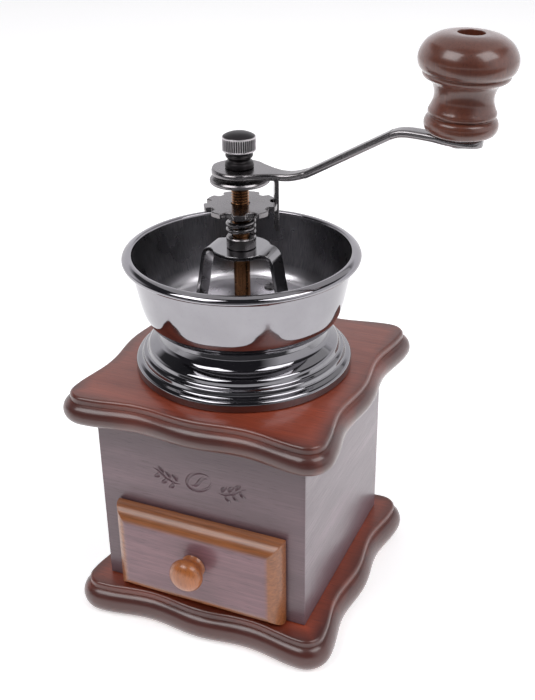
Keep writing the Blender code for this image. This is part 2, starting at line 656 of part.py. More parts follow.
def make_crank(knob_axis):
    mesh = strap_mesh("crank_arm", crank_path(), CRANK_THICKNESS)
    arm = add("crank_arm", mesh, (GUNMETAL, 0.22, 1.0), shaft)
    bore(arm, BORE_RADIUS, EYE_LOW - 5 * MM, EYE_LOW + 8 * MM)
    frame = knob_frame()
    pin = 2.5 * MM
    half = CRANK_THICKNESS / 2
    hole = rod("crank_arm_pin_hole", pin + GAP, -8 * MM, 8 * MM, None, segments=20, cutter=True)
    hole.matrix_world = frame
    boolean(arm, hole)
    recess = KNOB_LENGTH - 8 * MM
    foot = half + 0.8 * MM + 2 * GAP
    head_low = foot + recess + GAP
    profile = [(0, head_low + 2.2 * MM), (2.6 * MM, head_low + 1.9 * MM), (4.0 * MM, head_low + 0.6 * MM)]
    profile += [(4.0 * MM, head_low), (pin, head_low), (pin, -half - GAP), (4.2 * MM, -half - GAP)]
    profile += [(3.7 * MM, -half - 0.8 * MM), (0, -half - 0.9 * MM)]
    turned("knob_pin", profile, (STEEL, 0.3, 1.0), 20, parent=knob_axis)
    low = half + GAP
    washer = rod("knob_washer", 6.5 * MM, low, low + 0.8 * MM, (STEEL, 0.3, 1.0), segments=24)
    washer.parent = knob_axis
    bore(washer, pin + GAP, -MM, low + 2 * MM).modifiers[-1].object.parent = knob_axis
    return foot, recess, pin


def make_crank_knob(knob_axis, foot, recess, pin):
    """A turned wooden knob: a flattened ball on a waisted stem, with a bead at its foot."""
    ball = [(8.5, 37.5), (12.4, 36.5), (16.0, 34.0), (18.1, 30.9), (18.7, 28.0), (18.1, 25.3), (16.9, 23.5)]
    stem = [(16.4, 23.0), (16.2, 21.4), (14.6, 20.2), (12.2, 18.4), (11.3, 15.6), (11.4, 13.0)]
    bead = [(12.4, 10.0), (13.0, 8.4), (12.7, 7.2), (12.2, 6.7), (13.4, 6.1), (14.1, 4.2), (13.9, 2.2)]
    bead += [(12.6, 0.6), (11.4, 0)]
    inner, mouth = pin + GAP, 5 * MM
    profile = [(mouth, foot + KNOB_LENGTH - 0.4 * MM)] + scaled(ball + stem + bead, foot)
    profile += [(inner, foot), (inner, foot + recess), (mouth, foot + recess)]
    turned("crank_knob", profile, (REDDISH_WOOD, 0.2), 28, parent=knob_axis, closed=True)


def make_thumb_nut():
    """A cap nut: a flange, a waisted neck, a groove and a knurled head with a domed top."""
    head = [(0, 14.9), (2.8, 14.7), (5.2, 14.1), (6.7, 13.4), (7.1, 12.9), (7.1, 7.2), (6.6, 6.7)]
    neck = [(5.8, 6.4), (5.4, 5.8), (5.8, 5.2), (5.6, 4.6), (4.9, 3.6), (4.8, 2.9), (5.9, 2.1), (6.1, 0)]
    profile = scaled(head + neck, NUT_LOW)
    top = NUT_LOW + SPINDLE_ABOVE_EYE + 2 * GAP
    profile += [(BORE_RADIUS, NUT_LOW), (BORE_RADIUS, top), (0, top)]
    turned("thumb_nut", profile, (GUNMETAL, 0.25, 1.0), 20, parent=shaft)


def axis(name, matrix=None, parent=None):
    empty = bpy.data.objects.new(name, None)
    parts.objects.link(empty)
    empty.parent = parent
    if matrix is not None:
        empty.matrix_world = matrix
    return empty


clear_scene()
parts = new_collection("burr_coffee_grinder")
cutters = new_collection("cutters", hidden=True)
shaft = axis("spindle_axis")
adjuster_axis = axis("adjuster_axis")
drawer_rail = axis("drawer_rail")
handle_axis = axis("knob_axis", knob_frame(), shaft)
make_case()
make_case_screws()
make_drawer(drawer_rail)
make_ring()
make_bowl()
lowest_nut = make_burrs()
bearing_level = make_lower_bearing(lowest_nut)
bridge_foot = make_bridge()
make_bridge_rivets(bridge_foot)
make_mounting_screws()
make_adjuster(adjuster_axis)
make_spindle(lowest_nut, bearing_level)
make_lock_plate()
pin_foot, pin_recess, pin_radius = make_crank(handle_axis)
make_crank_knob(handle_axis, pin_foot, pin_recess, pin_radius)
make_thumb_nut()
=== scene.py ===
"""Looks of a hand-cranked burr coffee grinder: stained wood, black chrome, bronze and dark nickel.

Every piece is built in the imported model's own frame, in metres.
Profiles are lists of (radius, height, fillet) in mm.
"""

import json
import math

import bmesh
import bpy
import numpy as np
from mathutils import Matrix, Vector


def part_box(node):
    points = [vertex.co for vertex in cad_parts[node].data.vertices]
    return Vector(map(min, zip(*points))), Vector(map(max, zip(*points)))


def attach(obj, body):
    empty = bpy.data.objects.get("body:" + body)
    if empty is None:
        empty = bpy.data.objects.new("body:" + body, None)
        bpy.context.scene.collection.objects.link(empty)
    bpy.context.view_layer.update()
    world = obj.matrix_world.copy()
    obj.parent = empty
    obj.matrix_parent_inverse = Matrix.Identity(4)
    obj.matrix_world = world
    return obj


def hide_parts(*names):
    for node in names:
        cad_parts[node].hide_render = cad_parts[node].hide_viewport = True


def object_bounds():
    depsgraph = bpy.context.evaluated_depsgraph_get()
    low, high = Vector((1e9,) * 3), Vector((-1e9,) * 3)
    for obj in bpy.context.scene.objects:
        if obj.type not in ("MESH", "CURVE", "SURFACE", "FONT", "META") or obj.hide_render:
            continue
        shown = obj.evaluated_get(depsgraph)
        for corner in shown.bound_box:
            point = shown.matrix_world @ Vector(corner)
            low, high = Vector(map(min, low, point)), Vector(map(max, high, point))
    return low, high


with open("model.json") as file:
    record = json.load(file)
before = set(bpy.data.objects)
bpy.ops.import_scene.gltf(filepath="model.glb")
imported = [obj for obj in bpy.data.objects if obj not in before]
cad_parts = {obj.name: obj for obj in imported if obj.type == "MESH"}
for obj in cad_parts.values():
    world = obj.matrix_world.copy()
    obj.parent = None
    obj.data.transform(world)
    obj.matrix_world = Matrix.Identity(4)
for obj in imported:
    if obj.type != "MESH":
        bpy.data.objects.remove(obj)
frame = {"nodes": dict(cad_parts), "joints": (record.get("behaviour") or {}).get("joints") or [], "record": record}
cad_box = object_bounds()

MM = 0.001
scene = bpy.context.scene
record = frame["record"]
BODY_OF = {node: body for body, nodes in record["behaviour"]["bodies"].items() for node in nodes}
JOINTS = {joint["name"]: joint for joint in frame["joints"]}

# The camera looks a little down on the front corner, from the crank's side.
CAMERA_AZIMUTH = math.radians(23.609)
CAMERA_ELEVATION = math.radians(27.843)
CAMERA_ROLL = math.radians(-0.767)
CAMERA_DISTANCE = 0.4953
CAMERA_ASIDE = 0.01075
CAMERA_AIM_HEIGHT = 0.12217
CAMERA_LENS = 55.54

# The heights between which the hopper's floor, painted much brighter as a painted reflection of the light from
# above, turns into its darker spun wall
PAINTED_LIGHT_FLOOR_ZONE = (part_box("hopper_bowl")[0].z + 2.5 * MM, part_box("hopper_bowl")[0].z + 9 * MM)

# The plates' outline, as in the design
PLATE_CORNER = 12 * MM
PLATE_WAVE = 2.8 * MM
PLATE_MIDDLE_DIP = 1.0 * MM
STEP_HEIGHT = 3.2 * MM
STEP_INSET = 3.6 * MM
NOSE_DEPTH = 5.0 * MM

# Holes, by radius
SHAFT_BORE = 4.1 * MM
THROAT_BORE = 23 * MM
BUSHING_SEAT = 5.3 * MM
PIN_BORE = 2.8 * MM
KNOB_SCREW_BORE = 1.9 * MM

# Details finer than the design's solids
THREAD_PITCH = 1.25 * MM
THREAD_DEPTH = 0.5 * MM
KNURL_TEETH = 44
BURR_TEETH = 12
GROOVE_RADIUS = 1.0 * MM

# How far the side walls grow to close their joints, and a distance beyond the drawer's opening
JOINT_CLOSE = 0.28 * MM
OPENING_CLEAR = 45 * MM

BASE_SCREWS = [f"base_screw_{end}_{side}" for end in ("front", "back") for side in ("left", "right")]

# Light: name, azimuth, elevation, distance, size and power of each box, and the side that stays dark
WORLD_STRENGTH = 1.0
SOFTBOXES = [
    ("key_left", -32, 52, 2.0, (1.2, 1.0), 17),
    ("key_right", 78, 50, 2.0, (1.2, 1.0), 15),
    ("back_fill", 190, 62, 2.0, (2.6, 2.2), 10),
]
LIGHT_TINT = (1, 0.99, 1.0)
LIGHT_AIM = Vector((0, 0, 0.12))
DARK_SIDE = math.radians(-14)
HORIZON_GLOW = [
    (0.0, (1.0, 0.995, 1.02)),
    (0.42, (0.95, 0.94, 0.98)),
    (0.53, (0.07, 0.07, 0.075)),
    (0.8, (0.03, 0.03, 0.035)),
]
# The floor's own glow: painted light that makes it white, though it is no lamp
FLOOR_GLOW = 0.5
# How far in front of the object the floor's glow stops and a painted dark patch begins, painted shade where a
# photographer would stand
FLOOR_PAINTED_DARK_FADE = (0.26, 0.36)


# ---------------------------------------------------------------- shapes


def rounded(corners, closed=False, unit=MM, step=math.radians(12)):
    """A polyline of (x, y, fillet radius) corners, with each fillet drawn as an arc."""
    count = len(corners)
    points = []

    def share(place):
        """How much of an edge a fillet may use, beside a corner that has one too or has none."""
        is_plain = corners[place % count][2] <= 0 or (not closed and place % count in (0, count - 1))
        return 0.98 if is_plain else 0.499

    for index, (x, y, radius) in enumerate(corners):
        corner = Vector((x, y))
        is_end = not closed and index in (0, count - 1)
        if radius <= 0 or is_end:
            points.append(corner * unit)
            continue
        to_last = Vector(corners[index - 1][:2]) - corner
        to_next = Vector(corners[(index + 1) % count][:2]) - corner
        angle = to_last.angle(to_next)
        if angle > math.pi - 0.02:
            points.append(corner * unit)
            continue
        reach = radius / math.tan(angle / 2)
        room = min(to_last.length * share(index - 1), to_next.length * share(index + 1))
        if reach > room:
            radius *= room / reach
            reach = room
        middle = (to_last.normalized() + to_next.normalized()).normalized()
        centre = corner + middle * (radius / math.sin(angle / 2))
        start = corner + to_last.normalized() * reach - centre
        sweep = start.angle_signed(corner + to_next.normalized() * reach - centre)
        pieces = max(2, math.ceil(abs(sweep) / step))
        for i in range(pieces + 1):
            points.append((centre + Matrix.Rotation(-sweep * i / pieces, 2) @ start) * unit)
    return [tuple(point) for point in points]


def flowing(points, spans=5, unit=1.0):
    """A smooth curve through the points, which may have two or three coordinates."""
    points = [np.array(point, float) for point in points]
    ends = [2 * points[0] - points[1], *points, 2 * points[-1] - points[-2]]
    made = []
    for a, b, c, d in zip(ends, ends[1:], ends[2:], ends[3:]):
        for t in np.arange(spans) / spans:
            bend = (2 * a - 5 * b + 4 * c - d) * t**2 + (3 * b - a - 3 * c + d) * t**3
            made.append(tuple(unit * (b + 0.5 * ((c - a) * t + bend))))
    made.append(tuple(unit * points[-1]))
    return made


def raised(profile, base):
    return [(r, base + z) for r, z in profile]


def bridge_rings(bm, first, second):
    """Faces between two closed rings of vertices. A ring of one vertex is a pole."""
    count = max(len(first), len(second))
    if count == 1:
        return
    for i in range(count):
        j = (i + 1) % count
        if len(first) == 1:
            bm.faces.new((first[0], second[j], second[i]))
        elif len(second) == 1:
            bm.faces.new((first[i], first[j], second[0]))
        else:
            bm.faces.new((first[i], first[j], second[j], second[i]))


def lathe(profile, steps=96, closed=False, relief=None):
    """Spins (radius, height) points round Z. relief(angle, radius, height) gives a point's new radius."""
    bm = bmesh.new()
    rings = []
    for r, z in profile:
        if r < 1e-6:
            rings.append([bm.verts.new((0, 0, z))])
            continue
        ring = []
        for i in range(steps):
            a = 2 * math.pi * i / steps
            radius = relief(a, r, z) if relief else r
            ring.append(bm.verts.new((radius * math.cos(a), radius * math.sin(a), z)))
        rings.append(ring)
    if closed:
        rings.append(rings[0])
    for first, second in zip(rings, rings[1:]):
        bridge_rings(bm, first, second)
    return bm


def swept(rings):
    """A capped skin over rings of points, which all have the same number of points."""
    bm = bmesh.new()
    made = [[bm.verts.new(point) for point in ring] for ring in rings]
    for first, second in zip(made, made[1:]):
        bridge_rings(bm, first, second)
    bm.faces.new(made[0])
    bm.faces.new(made[-1])
    return bm


def tube(path, radius, sides=12):
    """A round bar along the path. radius is one number, or one for each point."""
    path = [Vector(point) for point in path]
    radii = radius if hasattr(radius, "__len__") else [radius] * len(path)
    lift = Vector((0.13, 0.21, 1))
    rings = []
    for i, point in enumerate(path):
        along = (path[min(i + 1, len(path) - 1)] - path[max(i - 1, 0)]).normalized()
        lift = (lift - along * lift.dot(along)).normalized()
        across = along.cross(lift)
        turns = [2 * math.pi * k / sides for k in range(sides)]
        rings.append([point + radii[i] * (math.cos(a) * across + math.sin(a) * lift) for a in turns])
    return swept(rings)


def strap(stations, thickness, edge):
    """A flat bar bent in the XZ plane, with rounded edges. Each station is (x, z, half width)."""
    rings = []
    last = len(stations) - 1
    for i, (x, z, half) in enumerate(stations):
        before, after = stations[max(i - 1, 0)], stations[min(i + 1, last)]
        along = Vector((after[0] - before[0], 0, after[1] - before[1])).normalized()
        lift = Vector((-along.z, 0, along.x))
        high = thickness / 2
        soft = min(edge, 0.9 * half)
        section = rounded(
            [(-half, -high, soft), (half, -high, soft), (half, high, soft), (-half, high, soft)],
            closed=True,
            unit=1,
            step=math.radians(30),
        )
        rings.append([Vector((x, y, z)) + lift * up for y, up in section])
    return swept(rings)


def block(low, high):
    bm = bmesh.new()
    bmesh.ops.create_cube(bm, size=1)
    middle, size = (Vector(low) + Vector(high)) / 2, Vector(high) - Vector(low)
    for vert in bm.verts:
        vert.co = middle + Vector(c * s for c, s in zip(vert.co, size))
    return bm


def slab(outline, low, high, soft):
    """A flat plate with the given outline and softened rims."""
    bm = bmesh.new()
    face = bm.faces.new([bm.verts.new((x, y, low)) for x, y in outline])
    grown = bmesh.ops.extrude_face_region(bm, geom=[face])["geom"]
    bmesh.ops.translate(
        bm, verts=[item for item in grown if isinstance(item, bmesh.types.BMVert)], vec=(0, 0, high - low)
    )
    bmesh.ops.recalc_face_normals(bm, faces=bm.faces)
    rims = [edge for edge in bm.edges if abs(edge.verts[0].co.z - edge.verts[1].co.z) < soft / 10]
    bmesh.ops.bevel(bm, geom=rims, offset=soft, segments=3, profile=0.5, affect="EDGES")
    return bm


def rod(radius, low, high, steps=48):
    return lathe([(0, high), (radius, high), (radius, low), (0, low)], steps)


def moved(bm, matrix):
    bmesh.ops.transform(bm, matrix=matrix, verts=bm.verts)
    return bm


def as_object(bm, name):
    bmesh.ops.recalc_face_normals(bm, faces=bm.faces)
    mesh = bpy.data.meshes.new(name)
    bm.to_mesh(mesh)
    bm.free()
    obj = bpy.data.objects.new(name, mesh)
    scene.collection.objects.link(obj)
    return obj


def carved(bm, *tools, operation="DIFFERENCE"):
    """The solid bm less each tool, or joined with it. All of them are used up."""
    body = as_object(bm, "work")
    helpers = [as_object(tool, "tool") for tool in tools]
    for helper in helpers:
        modifier = body.modifiers.new("cut", "BOOLEAN")
        modifier.operation = operation
        modifier.object = helper
    result = bmesh.new()
    result.from_object(body, bpy.context.evaluated_depsgraph_get())
    for obj in (body, *helpers):
        bpy.data.objects.remove(obj)
    return result


def piece(name, bm, material, *nodes, slot=None, matrix=None, sharp=32):
    """A finished piece that stands for CAD nodes and rides on the first one's body."""
    obj = as_object(bm, name)
    obj.data.shade_smooth()
    obj.data.set_sharp_from_angle(angle=math.radians(sharp))
    normals = obj.modifiers.new("normals", "WEIGHTED_NORMAL")
    normals.weight = 100
    normals.keep_sharp = True
    obj.data.materials.append(material)
    if matrix is not None:
        obj.matrix_world = matrix
    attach(obj, BODY_OF[nodes[0]])
    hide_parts(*nodes)
    return obj


# ---------------------------------------------------------------- materials


def new_material(name, **sockets):
    """A Principled material. Keyword names are its sockets, with _ for a space."""
    material = bpy.data.materials.new(name)
    material.use_nodes = True
    shader = material.node_tree.nodes["Principled BSDF"]
    for socket, value in sockets.items():
        shader.inputs[socket.replace("_", " ")].default_value = value
    return material, material.node_tree, shader


def add_node(tree, kind, settings=None, **inputs):
    """One shader node: settings are its properties, and inputs are values or the sockets that feed it."""
    made = tree.nodes.new("ShaderNode" + kind)
    for key, value in (settings or {}).items():
        setattr(made, key, value)
    for key, value in inputs.items():
        socket = made.inputs[key.replace("_", " ")]
        if isinstance(value, bpy.types.NodeSocket):
            tree.links.new(value, socket)
        else:
            socket.default_value = value
    return made


def sum_of(tree, first, second, operation="ADD"):
    made = tree.nodes.new("ShaderNodeMath")
    made.operation = operation
    for socket, value in zip(made.inputs, (first, second)):
        if isinstance(value, bpy.types.NodeSocket):
            tree.links.new(value, socket)
        else:
            socket.default_value = value
    return made.outputs[0]


def vector_math(tree, operation, first, second=None):
    made = add_node(tree, "VectorMath", {"operation": operation})
    tree.links.new(first, made.inputs[0])
    if second is not None:
        made.inputs[1].default_value = second
    return made


def spread(tree, value, low, high, to_low=0.0, to_high=1.0):
    limits = {"From_Min": low, "From_Max": high, "To_Min": to_low, "To_Max": to_high}
    return add_node(tree, "MapRange", Value=value, **limits).outputs[0]


def ramp(tree, factor, *stops):
    made = add_node(tree, "ValToRGB", Fac=factor)
    elements = made.color_ramp.elements
    while len(elements) < len(stops):
        elements.new(0.5)
    for element, (place, colour) in zip(elements, stops):
        element.position = place
        element.color = (*colour, 1)
    return made.outputs["Color"]


def blended(tree, factor, first, second):
    made = tree.nodes.new("ShaderNodeMix")
    made.data_type = "RGBA"
    for name, value in (("Factor_Float", factor), ("A_Color", first), ("B_Color", second)):
        socket = next(s for s in made.inputs if s.identifier == name)
        if isinstance(value, bpy.types.NodeSocket):
            tree.links.new(value, socket)
        else:
            socket.default_value = value if name == "Factor_Float" else (*value, 1)
    return next(s for s in made.outputs if s.identifier == "Result_Color")


def noise(tree, coords, scale, stretch=(1, 1, 1), detail=3.0, rough=0.55):
    """Noise with about scale features in a metre, drawn out along an axis by a small stretch."""
    mapping = add_node(tree, "Mapping", Vector=coords, Scale=[scale * s for s in stretch])
    made = add_node(tree, "TexNoise", Vector=mapping.outputs[0], Scale=1.0, Detail=detail, Roughness=rough)
    return made.outputs["Fac"]


def bump(tree, shader, height, strength, distance):
    made = add_node(tree, "Bump", Height=height, Strength=strength, Distance=distance)
    tree.links.new(made.outputs[0], shader.inputs["Normal"])


def object_coords(tree):
    return add_node(tree, "TexCoord").outputs["Object"]


def wood(name, stain, dark, grain="X", polish=0.4, coat=0.6, rim=None, shoulder=None, pore_depth=0.5):
    """Stained, lacquered rubberwood.

    rim is (start, end, colour): how far out the stain is sprayed darker. shoulder is (y, depth, colour): painted
    light, a lit golden colour on the edges that fall away behind a flat face, where the light catches them.
    """
    material, tree, shader = new_material(
        name, Coat_Weight=coat, Coat_Roughness=polish * 0.45, Coat_IOR=1.5, Specular_IOR_Level=0.5
    )
    coords = object_coords(tree)
    along, wide = ([drawn if axis == grain else 1.0 for axis in "XYZ"] for drawn in (0.05, 0.16))
    cloud = noise(tree, coords, 55, wide, 2.0)
    streak = noise(tree, coords, 900, along, 4.0, 0.6)
    pore = spread(tree, noise(tree, coords, 2600, along, 1.0), 0.60, 0.70)
    figure = sum_of(tree, sum_of(tree, cloud, 0.62, "MULTIPLY"), sum_of(tree, streak, 0.38, "MULTIPLY"))
    light = [min(1.0, c * 1.45) for c in stain]
    colour = ramp(tree, figure, (0.34, dark), (0.5, stain), (0.68, light))
    colour = blended(tree, sum_of(tree, pore, 0.45, "MULTIPLY"), colour, [c * 0.35 for c in dark])
    if rim:
        start, end, rim_colour = rim
        parts = add_node(tree, "SeparateXYZ", Vector=coords)
        out_x = sum_of(tree, parts.outputs["X"], 0.0, "ABSOLUTE")
        out_y = sum_of(tree, parts.outputs["Y"], 0.0, "ABSOLUTE")
        reach = sum_of(tree, out_x, out_y, "MAXIMUM")
        wander = sum_of(tree, spread(tree, cloud, 0.3, 0.7, -0.003, 0.003), reach)
        colour = blended(tree, spread(tree, wander, start, end), colour, rim_colour)
    # Painted light: the rounded edges behind the face are painted a lighter, lit colour, mottled by the streaks
    if shoulder:
        face, depth, painted_lit_colour = shoulder
        back = add_node(tree, "SeparateXYZ", Vector=coords).outputs["Y"]
        painted_lit_edge = spread(tree, back, face + 0.1 * depth, face + depth)
        mottle = blended(tree, spread(tree, streak, 0.35, 0.65), [c * 0.6 for c in painted_lit_colour], painted_lit_colour)
        colour = blended(tree, painted_lit_edge, colour, mottle)
    tree.links.new(colour, shader.inputs["Base Color"])
    rough = spread(tree, figure, 0.3, 0.7, polish + 0.08, polish - 0.06)
    tree.links.new(rough, shader.inputs["Roughness"])
    relief = sum_of(tree, sum_of(tree, streak, 0.5, "MULTIPLY"), pore, "SUBTRACT")
    bump(tree, shader, relief, pore_depth, 0.06 * MM)
    return material


def bare_wood(name, colour, grain="Y"):
    """Unstained plywood and rails inside the case."""
    return wood(name, colour, [c * 0.7 for c in colour], grain, polish=0.62, coat=0.0, pore_depth=0.8)


def polished(name, colour, gloss=0.07, lines="Z", smear=0.05, line_strength=0.05, groove=None):
    """Plated and buffed metal, with faint buffing lines round an axis, and smears that dull it.

    groove is (radius, radius, colour): painted shade that darkens a turned piece's grooves, between two radii.
    """
    material, tree, shader = new_material(name, Metallic=1.0)
    coords = object_coords(tree)
    stretch = [1.0 if axis == lines else 0.02 for axis in "XYZ"]
    fine = noise(tree, coords, 2600, stretch, 2.0)
    cloud = noise(tree, coords, 70, (1, 1, 1), 4.0)
    speck = spread(tree, noise(tree, coords, 1500, (1, 1, 1), 1.0), 0.68, 0.76)
    tint = ramp(tree, cloud, (0.35, [c * 0.92 for c in colour]), (0.65, colour))
    tint = blended(tree, sum_of(tree, speck, 0.25, "MULTIPLY"), tint, [c * 0.5 for c in colour])
    # Painted shade: the grooves are darkened between the two radii
    if groove:
        deep, proud, painted_groove_shade = groove
        level = vector_math(tree, "MULTIPLY", coords, (1, 1, 0)).outputs["Vector"]
        away = vector_math(tree, "LENGTH", level).outputs["Value"]
        tint = blended(tree, spread(tree, away, deep, proud), painted_groove_shade, tint)
    tree.links.new(tint, shader.inputs["Base Color"])
    dull = spread(tree, cloud, 0.35, 0.75, gloss, gloss + smear)
    tree.links.new(sum_of(tree, dull, sum_of(tree, speck, 0.12, "MULTIPLY")), shader.inputs["Roughness"])
    bump(tree, shader, fine, line_strength, 0.02 * MM)
    return material


def satin_bowl():
    """The inside of the hopper: dark plating over coarse spinning lines that run up the wall, and a floor painted
    much brighter, a painted reflection of the light from above.
    """
    material, tree, shader = new_material("hopper_inside", Metallic=1.0)
    coords = object_coords(tree)
    parts = add_node(tree, "SeparateXYZ", Vector=coords)
    turn = sum_of(tree, parts.outputs["Y"], parts.outputs["X"], "ARCTAN2")
    wrapped = add_node(tree, "CombineXYZ", X=turn, Y=sum_of(tree, parts.outputs["Z"], 6.0, "MULTIPLY"))
    lines = noise(tree, wrapped.outputs[0], 75, (1, 0.35, 1), 4.0, 0.7)
    cloud = noise(tree, coords, 60, (1, 1, 1), 3.0)
    wall = ramp(tree, lines, (0.3, (0.16, 0.158, 0.17)), (0.7, (0.3, 0.295, 0.31)))
    # Painted reflection: the floor gets a far brighter plating than the wall, for the light it reflects from above
    base = spread(tree, parts.outputs["Z"], PAINTED_LIGHT_FLOOR_ZONE[0], PAINTED_LIGHT_FLOOR_ZONE[1])
    floor = ramp(tree, cloud, (0.3, (0.62, 0.6, 0.63)), (0.7, (0.78, 0.76, 0.79)))
    tree.links.new(blended(tree, base, floor, wall), shader.inputs["Base Color"])
    tree.links.new(spread(tree, cloud, 0.3, 0.7, 0.22, 0.34), shader.inputs["Roughness"])
    bump(tree, shader, lines, 0.12, 0.05 * MM)
    return material


def cast_metal(name, colour, rough=0.5):
    """Cast or pressed metal as it leaves the mould: mottled, with a fine pitted skin."""
    material, tree, shader = new_material(name, Metallic=0.9)
    coords = object_coords(tree)
    mottle = noise(tree, coords, 240, (1, 1, 1), 5.0)
    pits = noise(tree, coords, 1700, (1, 1, 1), 2.0)
    tint = ramp(tree, mottle, (0.3, [c * 0.6 for c in colour]), (0.7, colour))
    tree.links.new(tint, shader.inputs["Base Color"])
    tree.links.new(spread(tree, pits, 0.3, 0.7, rough - 0.1, rough + 0.15), shader.inputs["Roughness"])
    bump(tree, shader, pits, 0.4, 0.1 * MM)
    return material


MOULDING = wood(
    "mahogany_moulding", (0.29, 0.05, 0.02), (0.22, 0.034, 0.014), "X", 0.42, 0.8,
    rim=(0.052, 0.0605, (0.075, 0.015, 0.010)), pore_depth=0.3,
)
FRONT_WOOD = wood(
    "front_stain", (0.13, 0.075, 0.09), (0.112, 0.062, 0.076), "X", 0.44, 0.8, pore_depth=0.25
)
SIDE_WOOD = wood("side_stain", (0.125, 0.08, 0.1), (0.108, 0.068, 0.086), "Y", 0.44, 0.8, pore_depth=0.25)
# The drawer face's rounded edges get a painted lit golden colour
DRAWER_WOOD = wood(
    "drawer_stain", (0.19, 0.095, 0.112), (0.16, 0.078, 0.092), "X", 0.4, 0.7,
    shoulder=(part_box("drawer_front")[0].y, 0.5 * MM, (0.36, 0.12, 0.035)), pore_depth=0.4,
)
HANDLE_WOOD = wood(
    "handle_stain", (0.13, 0.033, 0.016), (0.095, 0.022, 0.011), "Z", 0.4, 1.0, pore_depth=0.2
)
KNOB_WOOD = wood(
    "drawer_knob_stain", (0.4, 0.125, 0.03), (0.28, 0.08, 0.022), "Y", 0.4, 0.8, pore_depth=0.3
)
INNER_WOOD = bare_wood("drawer_plywood", (0.5, 0.31, 0.17))
RAIL_WOOD = bare_wood("rail_beech", (0.46, 0.27, 0.15))
CHROME = polished("black_chrome", (0.35, 0.34, 0.36), 0.05, "Z", 0.04)
# A darker copy of the black chrome for the ring: painted shade for the dark surroundings it reflects
RING_CHROME_PAINTED_DARK = polished("ring_chrome_painted_dark", (0.28, 0.275, 0.29), 0.05, "Z", 0.04)
BRIDGE_CHROME = polished("pressed_chrome", (0.33, 0.325, 0.335), 0.1, "X", 0.08)
NICKEL = polished("dark_nickel", (0.27, 0.257, 0.262), 0.2, "X", 0.14, 0.3)
WORN_NICKEL = polished("worn_nickel", (0.12, 0.115, 0.12), 0.3, "Z", 0.1)
# The thumb nut's nickel is a much brighter copy of the dark nickel, painted light against the dark world it
# reflects, and its knurl grooves are darkened with painted shade
NUT_NICKEL_PAINTED_BRIGHT = polished(
    "nut_nickel_painted_bright", (0.8, 0.76, 0.78), 0.34, "Z", 0.1, 0.2,
    groove=(6.68 * MM, 7.05 * MM, (0.05, 0.046, 0.048)),
)
# The thread's roots are darkened with painted shade
BRONZE = polished(
    "bronze_shaft", (0.56, 0.27, 0.12), 0.22, "Z", 0.15, 0.2,
    groove=(3.32 * MM, 3.72 * MM, (0.06, 0.03, 0.018)),
)
STEEL = polished("bright_steel", (0.55, 0.55, 0.56), 0.18, "Z", 0.12)
IRON = cast_metal("cast_burr_iron", (0.13, 0.125, 0.125))
SATIN = satin_bowl()


# ---------------------------------------------------------------- the wooden case


def plate_outline(half, inset, height):
    """The wavy square of a plate, set in by inset: sides that swell in the middle between two hollows."""
    side_points, corner_points = 60, 12
    straight, corner = half - PLATE_CORNER, PLATE_CORNER - inset
    points = []
    for turn in range(4):
        rotate = Matrix.Rotation(turn * math.pi / 2, 2)
        for i in range(side_points + 1):
            t = i / side_points
            dip = PLATE_WAVE * (1 - math.cos(4 * math.pi * t)) / 2
            dip += PLATE_MIDDLE_DIP * (1 - math.cos(2 * math.pi * t)) / 2
            points.append(rotate @ Vector((straight * (2 * t - 1), -straight - corner + dip)))
        for i in range(1, corner_points):
            a = -math.pi / 2 + i / corner_points * math.pi / 2
            across, up = straight + corner * math.cos(a), -straight + corner * math.sin(a)
            points.append(rotate @ Vector((across, up)))
    return [(x, y, height) for x, y in points]


def moulded_plate(node):
    """A plate with a full bullnose, a quirk above it and a small rounded step."""
    low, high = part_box(node)
    half, thickness = high.x, (high.z - low.z) / MM
    nose = thickness - STEP_HEIGHT / MM
    step, depth = STEP_INSET / MM, NOSE_DEPTH / MM
    quirk_depth, step_round, flat = 0.3, 1.5, 5
    quirk = math.acos(1 - (step + quirk_depth) / depth)
    turns = np.linspace(-math.pi / 2, quirk, 22)
    round_edge = [(depth * (1 - math.cos(a)), nose / 2 * (1 + math.sin(a))) for a in turns]
    corners = [(step, nose - 0.1, 0), (step, thickness, step_round), (step + flat, thickness, 0)]
    profile = [(inset * MM, z * MM) for inset, z in round_edge] + rounded(corners)
    return swept([plate_outline(half, inset, low.z + z) for inset, z in profile])


def upright(node):
    """The place at the foot of a small upright piece, and its height in mm."""
    low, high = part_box(node)
    return Matrix.Translation(((low.x + high.x) / 2, (low.y + high.y) / 2, low.z)), (high.z - low.z) / MM


def make_plates():
    base = moulded_plate("base_plate")
    sunk = rounded([(0, 30, 0), (2.0, 30, 0), (2.0, 2.4, 0), (3.8, 0, 0), (3.8, -3, 0), (0, -3, 0)])
    holes = [moved(lathe(sunk, 32), upright(node)[0]) for node in BASE_SCREWS]
    piece("base_moulding", carved(base, *holes), MOULDING, "base_plate", slot="moulding_wood")
    low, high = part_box("top_plate")
    throat = rod(THROAT_BORE, low.z - 5 * MM, high.z + 5 * MM, 96)
    top = carved(moulded_plate("top_plate"), throat)
    piece("top_moulding", top, MOULDING, "top_plate", slot="moulding_wood")


def panel(node):
    """A wall of the case. The side walls close up to the front and back ones, whose corners are soft."""
    low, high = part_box(node)
    if high.x - low.x < high.y - low.y:
        return block(low - Vector((0, JOINT_CLOSE, 0)), high + Vector((0, JOINT_CLOSE, 0)))
    bm = block(low, high)
    face = low.y if low.y < 0 else high.y
    rim = [edge for edge in bm.edges if all(abs(vert.co.y - face) < 0.01 * MM for vert in edge.verts)]
    bmesh.ops.bevel(bm, geom=rim, offset=0.3 * MM, segments=3, profile=0.5, affect="EDGES")
    return bm


